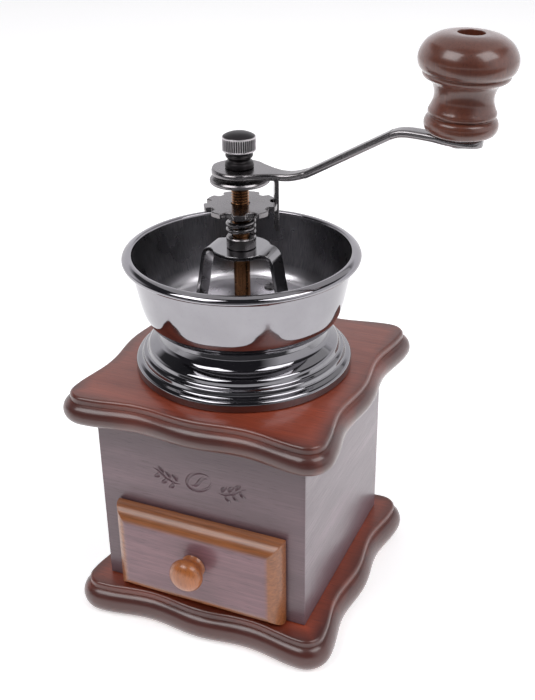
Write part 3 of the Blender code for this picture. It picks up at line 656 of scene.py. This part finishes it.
def stain_ends(obj, material):
    """The side stain on the faces of a front or back board that show on the case's sides."""
    sideways = 0.95
    obj.data.materials.append(material)
    for face in obj.data.polygons:
        if abs(face.normal.x) > sideways and abs(face.center.x) > OPENING_CLEAR:
            face.material_index = 1


def gouge(points, width, middle, face):
    """A tapered cutter along (x, z) points in mm from the middle, for a cut like a carving gouge's."""
    path = flowing(points, 6, MM)
    last = len(path) - 1
    radii = [width * (0.25 + 0.75 * math.sin(math.pi * i / last) ** 0.7) for i in range(last + 1)]
    proud = 0.3 * MM
    return tube([(x, face - proud, middle + z) for x, z in path], radii, 10)


def sprig(side):
    """A stem with leaf cuts on both sides, for one side of the motif."""
    stem = [(side * x, z) for x, z in ((8.2, -3.2), (12, -3.6), (16.5, -1.8), (20.5, 1.2), (23.6, 2.2))]
    cuts = [(stem, 0.8 * MM)]
    upper_leaves = [(11.0, -3.4, 1), (14.4, -2.6, 1), (17.8, -0.8, 1)]
    lower_leaves = [(12.8, -3.4, -1), (16.4, -1.8, -1), (19.8, 0.6, -1)]
    for x, z, lean in upper_leaves + lower_leaves:
        reach = 4.2 if lean > 0 else 3.6
        tip = (x + 2.6, z + lean * reach)
        bow = (x + 0.7, z + lean * reach * 0.62)
        leaf = [(side * x, z + 0.5 * lean), (side * bow[0], bow[1]), (side * tip[0], tip[1])]
        cuts.append((leaf, 1.15 * MM))
    return cuts


def coffee_motif():
    """A coffee bean between two leafy sprigs: strokes of (x, z) points in mm, and the cutter's radius."""
    tilt = math.radians(28)
    long, short, gap = 6.4, 4.4, 0.06

    def turned(u, v):
        return u * math.cos(tilt) - v * math.sin(tilt), u * math.sin(tilt) + v * math.cos(tilt)

    turns = np.linspace(gap, 2 * math.pi - gap, 26)
    oval = [turned(long * math.cos(a), short * math.sin(a)) for a in turns]
    seam = [turned(u, 1.1 * math.sin(u * math.pi / 5.4)) for u in np.linspace(-5.0, 5.0, 9)]
    return [(oval, GROOVE_RADIUS), (seam, GROOVE_RADIUS)] + sprig(-1) + sprig(1)


def make_panels():
    low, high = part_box("front_panel")
    drawer_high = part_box("drawer_side_right")[1]
    opening_half = drawer_high.x + 0.6 * MM
    opening_top = drawer_high.z + 2.5 * MM
    middle = (opening_top + high.z) / 2 + 1.0 * MM
    opening = block((-opening_half, low.y - MM, low.z - MM), (opening_half, high.y + MM, opening_top))
    cuts = [gouge(points, width, middle, low.y) for points, width in coffee_motif()]
    engraved = carved(panel("front_panel"), opening, *cuts)
    board = piece("engraved_front", engraved, FRONT_WOOD, "front_panel", slot="case_wood")
    stain_ends(board, SIDE_WOOD)
    board = piece("back_board", panel("back_panel"), FRONT_WOOD, "back_panel", slot="case_wood")
    stain_ends(board, SIDE_WOOD)
    for side in ("left", "right"):
        piece(f"{side}_board", panel(f"{side}_panel"), SIDE_WOOD, f"{side}_panel", slot="case_wood")


# ---------------------------------------------------------------- the drawer


def make_drawer():
    """The drawer, with a front whose edges are rounded over and a turned knob."""
    low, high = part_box("drawer_front")
    half, middle, tall = high.x, (low.z + high.z) / 2, (high.z - low.z) / 2
    depth = high.y - low.y
    chamfer, corner = 0.4 * MM, 0.2
    profile = rounded([(0, depth / MM, 0), (0, 0, 8.0), (12, 0, 0)], step=math.radians(7))
    rings = []
    for inset, back in [(chamfer, depth), (0, depth - chamfer)] + profile[1:]:
        a, b = (half - inset) / MM, (tall - inset) / MM
        corners = [(-a, -b, corner), (a, -b, corner), (a, b, corner), (-a, b, corner)]
        outline = rounded(corners, closed=True, step=math.radians(30))
        rings.append([(x, low.y + back, middle + z) for x, z in outline])
    knob_low, knob_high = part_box("drawer_knob")
    knob_z = (knob_low.z + knob_high.z) / 2
    forward = Matrix.Translation((0, low.y, knob_z)) @ Matrix.Rotation(math.pi / 2, 4, "X")
    hole = moved(rod(KNOB_SCREW_BORE, -30 * MM, 30 * MM, 24), forward)
    face = carved(swept(rings), hole)
    piece("drawer_face", face, DRAWER_WOOD, "drawer_front", slot="drawer_wood", sharp=40)
    crown = [(0, 12.2), (2.4, 12.05), (4.8, 11.4), (6.7, 10.1), (7.7, 8.3), (7.85, 6.8), (7.3, 5.3)]
    head = flowing(crown, 6, MM)
    neck = flowing([(7.3, 5.3), (5.9, 4.1), (5.1, 2.9), (5.2, 1.5), (5.8, 0.35)], 6, MM)
    bore = [(KNOB_SCREW_BORE, 0.35 * MM), (KNOB_SCREW_BORE, 8 * MM), (0, 8 * MM)]
    knob = lathe(head + neck[1:] + bore, 72)
    piece("turned_drawer_knob", knob, KNOB_WOOD, "drawer_knob", slot="drawer_wood", matrix=forward)
    for node in ("drawer_side_left", "drawer_side_right", "drawer_back", "drawer_bottom"):
        dress(node, INNER_WOOD)
    for node in ("drawer_guide_left", "drawer_guide_right"):
        dress(node, RAIL_WOOD)
    dress("drawer_knob_screw", STEEL)


def dress(node, material):
    """A better finish on a CAD node whose shape is right."""
    obj = frame["nodes"][node]
    obj.data.materials.clear()
    obj.data.materials.append(material)


# ---------------------------------------------------------------- hopper, ring and burrs


def make_ring():
    """The pressed ring: a lip, two broad steps, a cove and a flange that stands on the plate."""
    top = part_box("base_ring")[1].z
    outer = rounded([
        (30, 0, 0), (36.2, 0, 0.5), (36.6, -2.6, 3), (37.9, -6.4, 4), (42.9, -9.4, 2.4), (43.6, -12.2, 1.6),
        (45.6, -12.9, 1.0), (46.0, -15.4, 1.6), (49.0, -16.5, 1.8), (49.2, -20.7, 0.3), (48.1, -20.7, 0.3),
    ])
    inner = rounded([
        (48.1, -20.7, 0), (48.0, -17.6, 1), (44.8, -16.4, 1), (44.4, -14.0, 1), (42.4, -13.2, 1),
        (41.8, -10.4, 2), (36.8, -7.4, 3), (35.6, -1.2, 1), (27.0, -1.2, 0.2), (27.0, 0, 0.2), (30, 0, 0),
    ])
    ring = lathe(raised(outer + inner[1:-1], top), 160, closed=True)
    piece("spun_ring", ring, RING_CHROME_PAINTED_DARK, "base_ring", slot="chrome", sharp=50)


def make_bowl():
    """The spun hopper: a rolled rim, a flaring wall and a floor with a throat over the burrs."""
    low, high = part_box("hopper_bowl")
    lip = 47.9
    rim = flowing([
        (lip, 32.2), (48.2, 32.95), (48.9, 33.25), (50.2, 33.15), (51.6, 32.5), (52.4, 31.5), (52.4, 30.5),
        (51.7, 29.7), (50.4, 29.2), (49.4, 28.7), (49.0, 27.6),
    ], 4)
    wall = flowing([
        (49.0, 27.6), (48.0, 23.2), (46.9, 18.0), (45.8, 12.5), (44.4, 7.2), (42.2, 2.9), (39.3, 0.6),
        (36.5, 0),
    ], 6)
    floor = rounded([(36.5, 0, 0), (19.5, 0, 0.3), (19.5, 1.4, 0.3), (35.0, 1.5, 0)], unit=1)
    inside = flowing([
        (35.0, 1.5), (38.6, 2.0), (41.2, 4.2), (43.2, 8.2), (44.7, 13.2), (45.9, 18.6), (46.9, 24.2),
        (47.5, 29.0), (lip, 32.2),
    ], 6)
    profile = [(r * MM, low.z + z * MM) for r, z in rim + wall[1:] + floor[1:] + inside[1:-1]]
    body = lathe(profile, 192, closed=True)
    bowl = piece("spun_bowl", body, CHROME, "hopper_bowl", slot="chrome", sharp=50)
    bowl.data.materials.append(SATIN)
    satin_top = high.z - 1.2 * MM
    for face in bowl.data.polygons:
        outward = Vector((face.center.x, face.center.y, 0))
        faces_in = face.normal.dot(outward.normalized()) < -0.2 or face.normal.z > 0.9
        if faces_in and face.center.z < satin_top and outward.length < lip * MM:
            face.material_index = 1


def make_burrs():
    """The fixed ring and the turning cone, with teeth that spiral down and grow finer."""
    low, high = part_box("burr_ring")
    ring_twist, cone_twist = 260, 160
    tooth = 0.8 * MM

    def ring_teeth(angle, radius, height):
        if radius > 20.5 * MM or height > high.z - 0.4 * MM:
            return radius
        twist = 2 * BURR_TEETH * angle + (height - low.z) * ring_twist
        return radius - tooth * abs(math.sin(twist / 2))

    top, bottom = high.z / MM, low.z / MM
    body = [(26.0, top), (26.0, top - 3), (21.8, top - 3), (21.8, bottom), (20.2, bottom)]
    bore = flowing([(20.2, bottom), (17.4, bottom + 9.5), (15.4, top - 6.0), (18.9, top)], 8)
    ring = lathe([(r * MM, z * MM) for r, z in body + bore[1:]], 240, True, ring_teeth)
    piece("toothed_burr_ring", ring, IRON, "burr_ring", slot="cast_iron", sharp=50)
    cone_low, cone_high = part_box("inner_burr")

    def cone_teeth(angle, radius, height):
        if radius < 4.5 * MM:
            return radius
        twist = BURR_TEETH * angle + (height - cone_low.z) * cone_twist
        coarse = (height - cone_low.z) / (cone_high.z - cone_low.z)
        return radius * (1 - (0.03 + 0.16 * coarse) * abs(math.sin(twist / 2)))

    base, tip = cone_low.z / MM, cone_high.z / MM
    shape = flowing([(17.6, base), (15.8, base + 7), (13.4, base + 15.5), (6.4, tip)], 8)
    shape += [(3.9, tip), (3.9, base)]
    cone = lathe([(r * MM, z * MM) for r, z in shape], 240, True, cone_teeth)
    piece("toothed_burr_cone", cone, IRON, "inner_burr", slot="cast_iron", sharp=50)


def make_bridge():
    """The bridge over the throat: two splayed legs and a round seat, pressed from one strip."""
    low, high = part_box("bridge_bracket")
    thickness = 1.8
    middle, foot = high.z / MM - thickness / 2, low.z / MM + thickness / 2
    leg, seat = 5.25, 13.0
    half = [(28.75, foot, leg), (26, foot, leg), (23.2, foot, leg), (21.9, foot + 0.5, leg)]
    half += [(21.1, foot + 1.7, leg), (20.7, foot + 3.4, leg), (18.6, foot + 14, leg)]
    half += [(16.5, middle - 5.0, leg), (15.9, middle - 2.8, leg)]
    half += [(14.9, middle - 1.2, leg + 0.2), (13.3, middle - 0.25, leg + 0.8)]
    half += [(x, middle, math.sqrt(seat**2 - x * x)) for x in (11.0, 9.0, 6.5, 3.5)]
    path = [(-x, z, w) for x, z, w in half] + [(0, middle, seat)] + half[::-1]
    strip = strap(flowing(path, 4, MM), thickness * MM, 0.35 * MM)
    bore = rod(BUSHING_SEAT, high.z - 8 * MM, high.z + 5 * MM)
    piece("pressed_bridge", carved(strip, bore), BRIDGE_CHROME, "bridge_bracket", slot="chrome", sharp=40)
    low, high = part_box("spindle_bushing")
    tall, bore = (high.z - low.z) / MM, SHAFT_BORE / MM
    profile = rounded([
        (bore, tall, 0), (6.0, tall, 0.3), (6.5, tall - 0.6, 0.3), (6.5, 4.8, 0.2),
        (5.0, 4.8, 0), (5.0, 0, 0.2), (bore, 0, 0),
    ])
    bushing = lathe(raised(profile, low.z), 72, True)
    piece("turned_bushing", bushing, NICKEL, "spindle_bushing", slot="dark_nickel")


def recessed_head(profile, radius, top):
    """A turned screw with a cross recess in its head."""
    cross = 0.36 * radius
    reach, half_width, depth, twist = 1.9 * cross, 0.28 * cross, 0.9 * MM, 0.4
    bars = []
    for turn in (0, math.pi / 2):
        bar = block((-reach, -half_width, top - depth), (reach, half_width, top + MM))
        bars.append(moved(bar, Matrix.Rotation(turn + twist, 4, "Z")))
    return carved(lathe(profile, 40), *bars)


def make_fasteners():
    pan_head, sunk_head = 3.2, 3.4
    for index in range(1, 4):
        node = f"mounting_screw_{index}"
        place, tall = upright(node)
        profile = rounded([
            (0, tall, 0), (1.6, tall - 0.1, 2), (3.1, tall - 0.8, 1), (pan_head, tall - 1.4, 0.1),
            (1.6, tall - 1.4, 0), (1.6, 0, 0), (0, 0, 0),
        ])
        screw = recessed_head(profile, pan_head * MM, tall * MM)
        piece(f"pan_screw_{index}", screw, WORN_NICKEL, node, slot="steel", matrix=place)
    for node in BASE_SCREWS:
        place, tall = upright(node)
        cone = [(1.6, tall - 2.2, 0), (sunk_head, tall, 0.1)]
        profile = rounded([(0, 0, 0), (1.6, 0, 0), *cone, (0, tall, 0)])
        flip = place @ Matrix.Translation((0, 0, tall * MM)) @ Matrix.Rotation(math.pi, 4, "X")
        name = node.replace("base_screw", "countersunk_screw")
        screw = recessed_head(profile[::-1], sunk_head * MM, tall * MM)
        piece(name, screw, STEEL, node, slot="steel", matrix=flip)
    for side in ("left", "right"):
        place, tall = upright(f"bridge_rivet_{side}")
        profile = rounded([
            (0, tall, 0), (1.3, tall - 0.1, 1), (2.2, tall - 1.0, 0.4), (2.2, tall - 1.1, 0),
            (1.2, tall - 1.1, 0), (1.2, 0, 0), (0, 0, 0),
        ])
        rivet = lathe(profile, 32)
        piece(f"domed_rivet_{side}", rivet, STEEL, f"bridge_rivet_{side}", slot="steel", matrix=place)
    for node in ("lower_bearing_bar", "burr_nut"):
        dress(node, STEEL)


# ---------------------------------------------------------------- adjuster, spindle and crank


def tab_angle():
    """The angle round the spindle at which the lock plate's tab comes down."""
    mesh = frame["nodes"]["lock_plate"].data
    lowest = min(vert.co.z for vert in mesh.vertices)
    ends = [vert.co for vert in mesh.vertices if vert.co.z < lowest + MM]
    return math.atan2(sum(co.y for co in ends), sum(co.x for co in ends))


def make_adjuster(angle):
    low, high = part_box("star_wheel")
    radius, thickness, notches = 15.8, 2.4, 9
    mouth, floor, root = 0.165, 0.11, radius - 2.7
    top = high.z / MM
    notch = [(-mouth, radius, 0.8), (-floor, root, 0.7), (floor, root, 0.7), (mouth, radius, 0.8)]
    corners = []
    for k in range(notches):
        middle = angle + 2 * math.pi * k / notches
        for offset, r, soft in notch:
            corners.append((r * math.cos(middle + offset), r * math.sin(middle + offset), soft))
        for share in (0.25, 0.5, 0.75):
            a = middle + mouth + (2 * math.pi / notches - 2 * mouth) * share
            corners.append((radius * math.cos(a), radius * math.sin(a), 6))
    wheel = slab(rounded(corners, closed=True), (top - thickness) * MM, high.z, 0.35 * MM)
    hub, foot = 6.3, low.z / MM
    hub_profile = rounded([(0, top - 1, 0), (hub, top - 1, 0), (hub, foot, 0.5), (0, foot, 0)])
    wheel = carved(wheel, lathe(hub_profile, 72), operation="UNION")
    wheel = carved(wheel, rod(SHAFT_BORE, low.z - MM, high.z + MM))
    piece("stamped_star_wheel", wheel, NICKEL, "star_wheel", slot="dark_nickel")
    low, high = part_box("adjuster_spring")
    wire, ring, turns = 1.13 * MM, 5.5 * MM, 2.1
    count = 90
    climb = (high.z - low.z) - 2 * wire
    coil = []
    for i in range(count + 1):
        a = 2 * math.pi * turns * i / count
        coil.append((ring * math.cos(a), ring * math.sin(a), low.z + wire + climb * i / count))
    piece("coiled_spring", tube(coil, wire, 14), NICKEL, "adjuster_spring", slot="steel")


def make_spindle():
    """The shaft, with a rolled thread from above the bushing up into the thumb nut."""
    low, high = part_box("spindle")
    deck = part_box("bridge_bracket")[1].z
    thread_low, thread_high = deck + 10 * MM, high.z - 0.8 * MM
    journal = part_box("burr_nut")[0].z - 0.5 * MM

    crest, plain, journal_radius = 3.8 * MM, 3.6 * MM, 2.6 * MM

    def thread(angle, radius, height):
        if radius < 3.75 * MM or not thread_low < height < thread_high:
            return radius
        phase = (height / THREAD_PITCH - angle / (2 * math.pi)) % 1.0
        fade = min(1.0, (height - thread_low) / THREAD_PITCH, (thread_high - height) / THREAD_PITCH)
        return radius - THREAD_DEPTH * fade * min(1.0, 1.25 * abs(2 * phase - 1))

    rows = int((thread_high - thread_low) / THREAD_PITCH * 14)
    flights = [(crest, thread_high - (thread_high - thread_low) * i / rows) for i in range(rows + 1)]
    profile = [(0, high.z), (3.0 * MM, high.z)] + flights
    profile += [(plain, thread_low - 0.5 * MM), (plain, journal), (journal_radius, journal - 0.2 * MM)]
    profile += [(journal_radius, low.z + 0.4 * MM), (2.2 * MM, low.z), (0, low.z)]
    shaft = lathe(profile, 48, relief=thread)
    piece("threaded_spindle", shaft, BRONZE, "spindle", slot="bronze", sharp=60)


def make_lock_plate(angle):
    """A round plate with a long tab bent down into the star wheel, and the washer under the crank."""
    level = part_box("lock_plate")[1].z
    thickness, half_width = 2.0, 2.0
    top, foot = level / MM, level / MM - thickness
    disc = rounded([(0, top, 0), (12.2, top, 0.1), (12.8, top - 0.7, 0.6), (12.8, foot, 0.5), (0, foot, 0)])
    middle, out = level - MM, 15.6
    bend = [(9, 0), (12.6, 0), (14.0, -0.15), (14.9, -0.7), (15.45, -1.7)]
    bend += [(out, -3.0), (out, -10), (out, -24.2)]
    path = [(x * MM, middle + z * MM, half_width * MM) for x, z in bend]
    tab = strap(flowing(path, 4), 1.8 * MM, 0.35 * MM)
    plate = carved(lathe(disc, 120), moved(tab, Matrix.Rotation(angle, 4, "Z")), operation="UNION")
    plate = carved(plate, rod(SHAFT_BORE, level - 5 * MM, level + 5 * MM))
    piece("bent_lock_plate", plate, NICKEL, "lock_plate", slot="dark_nickel")
    low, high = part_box("crank_washer")
    tall, bore, outer = (high.z - low.z) / MM, SHAFT_BORE / MM, 7.0
    ring = rounded([(bore, 0, 0), (bore, tall, 0), (outer, tall, 0.2), (outer, 0, 0.2)], closed=True)
    piece("thrust_washer", lathe(raised(ring, low.z), 72, True), STEEL, "crank_washer", slot="steel")


def knob_place():
    """The knob joint's place and the tilt of its axis."""
    joint = JOINTS["knob_spin"]
    origin, axis = Vector(joint["pos_m"]), Vector(joint["axis"])
    return Matrix.Translation(origin) @ Matrix.Rotation(math.atan2(axis.x, axis.z), 4, "Y")


def make_crank(place):
    """The bent bar: a round eye on the spindle, a rise, and a flattened eye under the knob."""
    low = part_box("crank_arm")[0]
    thickness, edge = 3.0, 1.3
    level = low.z / MM + thickness / 2
    end = place.translation
    shoulder, bend, arm, eye = 69.0, 26.7, 3.45, -low.x / MM
    pin_axis = place.to_3x3() @ Vector((0, 0, 1))
    drop = pin_axis.x / pin_axis.z
    upper = end.z / MM + drop * (end.x / MM - shoulder - 4)
    stations = []
    for turn in np.linspace(math.pi - 0.06, 0.85, 13):
        stations.append((eye * math.cos(turn), level, eye * math.sin(turn)))
    stations += [(10.6, level, 7.3), (14, level, 5.5), (18.7, level, 3.9), (bend - 4, level + 0.25, 3.6)]
    for x, z in ((-0.4, 1.05), (3.3, 2.35), (6.9, 4.1)):
        stations.append((bend + x, level + z, arm))
    for x, z in ((-6, -3.1), (-3, -1.5), (0, -0.4), (4, 0)):
        stations.append((shoulder + x, upper + z, arm))
    for x, half in ((-13, 3.6), (-9, 4.3), (-5, 5.5), (-1, 6.0), (3, 5.9), (6, 5.1), (8, 3.7), (9.2, 1.6)):
        along = end.x / MM + x
        stations.append((along, upper - drop * (along - shoulder - 4), half))
    bar = strap(flowing(stations, 4, MM), thickness * MM, edge * MM)
    eye_bore = rod(SHAFT_BORE, low.z - 5 * MM, low.z + 8 * MM)
    pin_bore = moved(rod(PIN_BORE, -8 * MM, 8 * MM), place)
    piece("bent_crank", carved(bar, eye_bore, pin_bore), NICKEL, "crank_arm", slot="dark_nickel", sharp=40)


def make_handle(place):
    """The turned wooden knob, the pin that it spins on and the washer under it."""
    foot, recess, length = 2.9, 29.6, 37.6
    crown = flowing([
        (5.3, 37.55), (8.6, 37.4), (12.4, 36.4), (15.9, 34.1), (18.0, 31.0), (18.7, 28.0), (18.2, 25.3),
        (17.0, 23.6),
    ], 6)
    collar = flowing([
        (16.5, 23.2), (16.5, 22.2), (15.9, 21.2), (14.5, 20.4), (13.0, 19.4), (11.9, 17.6), (11.3, 15.2),
        (11.4, 12.8), (12.2, 10.4), (12.95, 8.8), (12.9, 7.6), (12.3, 6.9),
    ], 5)
    bead = flowing([(12.3, 6.7), (13.5, 5.9), (14.1, 4.2), (13.9, 2.3), (12.9, 0.7), (11.4, 0)], 6)
    bore = PIN_BORE / MM
    inside = [(bore, 0), (bore, recess), (5.0, recess), (5.0, length - 0.4)]
    profile = [(r * MM, (foot + z) * MM) for r, z in crown + collar + bead + inside]
    handle = moved(lathe(profile, 144, True), place)
    piece("turned_handle", handle, HANDLE_WOOD, "crank_knob", slot="handle_wood", sharp=42)
    head = foot + recess + 0.3
    dome, head_radius, shank = head + 2.2, 4.0, 2.5
    profile = rounded([
        (0, dome, 0), (2.6, head + 1.9, 2), (head_radius, head + 0.7, 0.6), (head_radius, head, 0.1),
        (shank, head, 0), (shank, -1.8, 0), (4.2, -1.8, 0.2), (3.7, -2.3, 0.4), (0, -2.4, 0),
    ])
    pin = recessed_head(profile, head_radius * MM, dome * MM)
    piece("handle_pin", pin, STEEL, "knob_pin", slot="steel", matrix=place)
    washer = rounded([(bore, 1.8, 0), (bore, 2.6, 0), (6.5, 2.6, 0.2), (6.5, 1.8, 0.2)], closed=True)
    piece("handle_washer", lathe(washer, 60, True), STEEL, "knob_washer", slot="steel", matrix=place)


def make_thumb_nut():
    """The cap nut: a straight-knurled head with a domed top, a groove, a waisted neck and a flange."""
    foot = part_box("thumb_nut")[0].z
    knurl_low, knurl_high, knurl_depth = 7.4, 12.7, 0.45 * MM

    def knurl(angle, radius, height):
        up = (height - foot) / MM
        if not knurl_low < up < knurl_high:
            return radius
        fade = min(1.0, (up - knurl_low) * 3, (knurl_high - up) * 3)
        return radius - knurl_depth * fade * (0.5 + 0.5 * math.cos(KNURL_TEETH * angle)) ** 0.7

    dome = flowing([(0, 14.9), (1.8, 14.82), (3.6, 14.55), (5.3, 14.0), (6.5, 13.4), (6.95, 13.0)], 4)
    sides = [(7.1, 12.9 - 5.7 * i / 24) for i in range(25)]
    bore, bore_top = SHAFT_BORE / MM, 10.6
    neck = rounded([
        (7.0, 7.1, 0), (6.5, 6.7, 0.3), (5.8, 6.4, 0.2), (5.4, 5.8, 0.3), (5.9, 5.2, 0.3), (5.7, 4.5, 0.3),
        (4.9, 3.6, 0.8), (4.7, 2.9, 0.5), (5.9, 2.1, 0.3), (6.1, 1.5, 0.3), (6.1, 0, 0.2), (bore, 0, 0),
        (bore, bore_top, 0), (0, bore_top, 0),
    ], unit=1)
    profile = [(r * MM, foot + z * MM) for r, z in dome + sides + neck]
    nut = lathe(profile, 6 * KNURL_TEETH, relief=knurl)
    piece("knurled_thumb_nut", nut, NUT_NICKEL_PAINTED_BRIGHT, "thumb_nut", slot="dark_nickel")


# ---------------------------------------------------------------- stage, light and camera


def direction(azimuth, elevation=0.0):
    """A unit vector away from the object. Azimuth 0 is straight in front, and it grows towards the crank."""
    flat = math.cos(elevation)
    return Vector((math.sin(azimuth) * flat, -math.cos(azimuth) * flat, math.sin(elevation)))


def make_floor():
    """Pale paper that glows with painted light, and turns into a painted dark patch, painted shade, where a
    photographer would stand.
    """
    bm = bmesh.new()
    bmesh.ops.create_grid(bm, x_segments=8, y_segments=8, size=3.0)
    bmesh.ops.translate(bm, verts=bm.verts, vec=(0, 0, cad_box[0].z - 0.1 * MM))
    floor = as_object(bm, "studio_floor")
    material, tree, shader = new_material("pale_paper", Roughness=0.9, Specular_IOR_Level=0.1)
    coords = object_coords(tree)
    shade = noise(tree, coords, 4, (1, 1, 1), 2.0)
    paper = ramp(tree, shade, (0.3, (0.93, 0.93, 0.935)), (0.7, (0.95, 0.95, 0.955)))
    ahead = vector_math(tree, "DOT_PRODUCT", coords, direction(CAMERA_AZIMUTH)).outputs["Value"]
    end = spread(tree, ahead, *FLOOR_PAINTED_DARK_FADE)
    # Painted shade: towards the camera the paper is painted dark and stops glowing
    tree.links.new(blended(tree, end, paper, (0.1, 0.1, 0.105)), shader.inputs["Base Color"])
    shader.inputs["Emission Color"].default_value = (1, 1, 1, 1)
    tree.links.new(spread(tree, end, 0.0, 1.0, FLOOR_GLOW, 0.0), shader.inputs["Emission Strength"])
    floor.data.materials.append(material)


def make_world():
    """A bright band at the horizon under a dim ceiling, darker where a photographer would stand."""
    world = bpy.data.worlds.new("studio")
    world.use_nodes = True
    scene.world = world
    tree = world.node_tree
    background = tree.nodes["Background"]
    outward = add_node(tree, "TexCoord").outputs["Generated"]
    height = add_node(tree, "SeparateXYZ", Vector=outward).outputs["Z"]
    band = ramp(tree, height, *HORIZON_GLOW)
    facing = vector_math(tree, "DOT_PRODUCT", outward, direction(DARK_SIDE)).outputs["Value"]
    sector = spread(tree, facing, 0.05, 0.5)
    shade = sum_of(tree, sector, spread(tree, height, 0.01, 0.08), "MULTIPLY")
    tree.links.new(blended(tree, shade, band, (0.035, 0.034, 0.04)), background.inputs["Color"])
    background.inputs["Strength"].default_value = WORLD_STRENGTH


def softbox(name, azimuth, elevation, distance, size, power):
    """A square light that faces the object from a compass direction, with azimuth as the camera's is."""
    light = bpy.data.lights.new(name, "AREA")
    light.shape = "RECTANGLE"
    light.size, light.size_y = size
    light.energy = power
    light.color = LIGHT_TINT
    obj = bpy.data.objects.new(name, light)
    scene.collection.objects.link(obj)
    away = direction(math.radians(azimuth), math.radians(elevation))
    obj.location = LIGHT_AIM + away * distance
    obj.rotation_euler = away.to_track_quat("Z", "Y").to_euler()


def make_lights():
    make_world()
    for name, azimuth, elevation, distance, size, power in SOFTBOXES:
        softbox(name, azimuth, elevation, distance, size, power)


def make_camera():
    data = bpy.data.cameras.new("camera")
    data.lens = CAMERA_LENS
    data.clip_end = 50
    camera = bpy.data.objects.new("camera", data)
    scene.collection.objects.link(camera)
    back = direction(CAMERA_AZIMUTH, CAMERA_ELEVATION)
    right = direction(CAMERA_AZIMUTH + math.pi / 2)
    axes = Matrix((right, back.cross(right), back)).transposed()
    place = right * CAMERA_ASIDE + Vector((0, 0, CAMERA_AIM_HEIGHT)) + back * CAMERA_DISTANCE
    camera.matrix_world = Matrix.Translation(place) @ axes.to_4x4() @ Matrix.Rotation(CAMERA_ROLL, 4, "Z")
    scene.camera = camera


make_floor()
make_lights()
make_camera()
make_plates()
make_panels()
make_drawer()
make_ring()
make_bowl()
make_burrs()
make_bridge()
make_fasteners()
tab_turn = tab_angle()
make_adjuster(tab_turn)
make_spindle()
make_lock_plate(tab_turn)
handle_place = knob_place()
make_crank(handle_place)
make_handle(handle_place)
make_thumb_nut()
scene.view_settings.view_transform = "Standard"
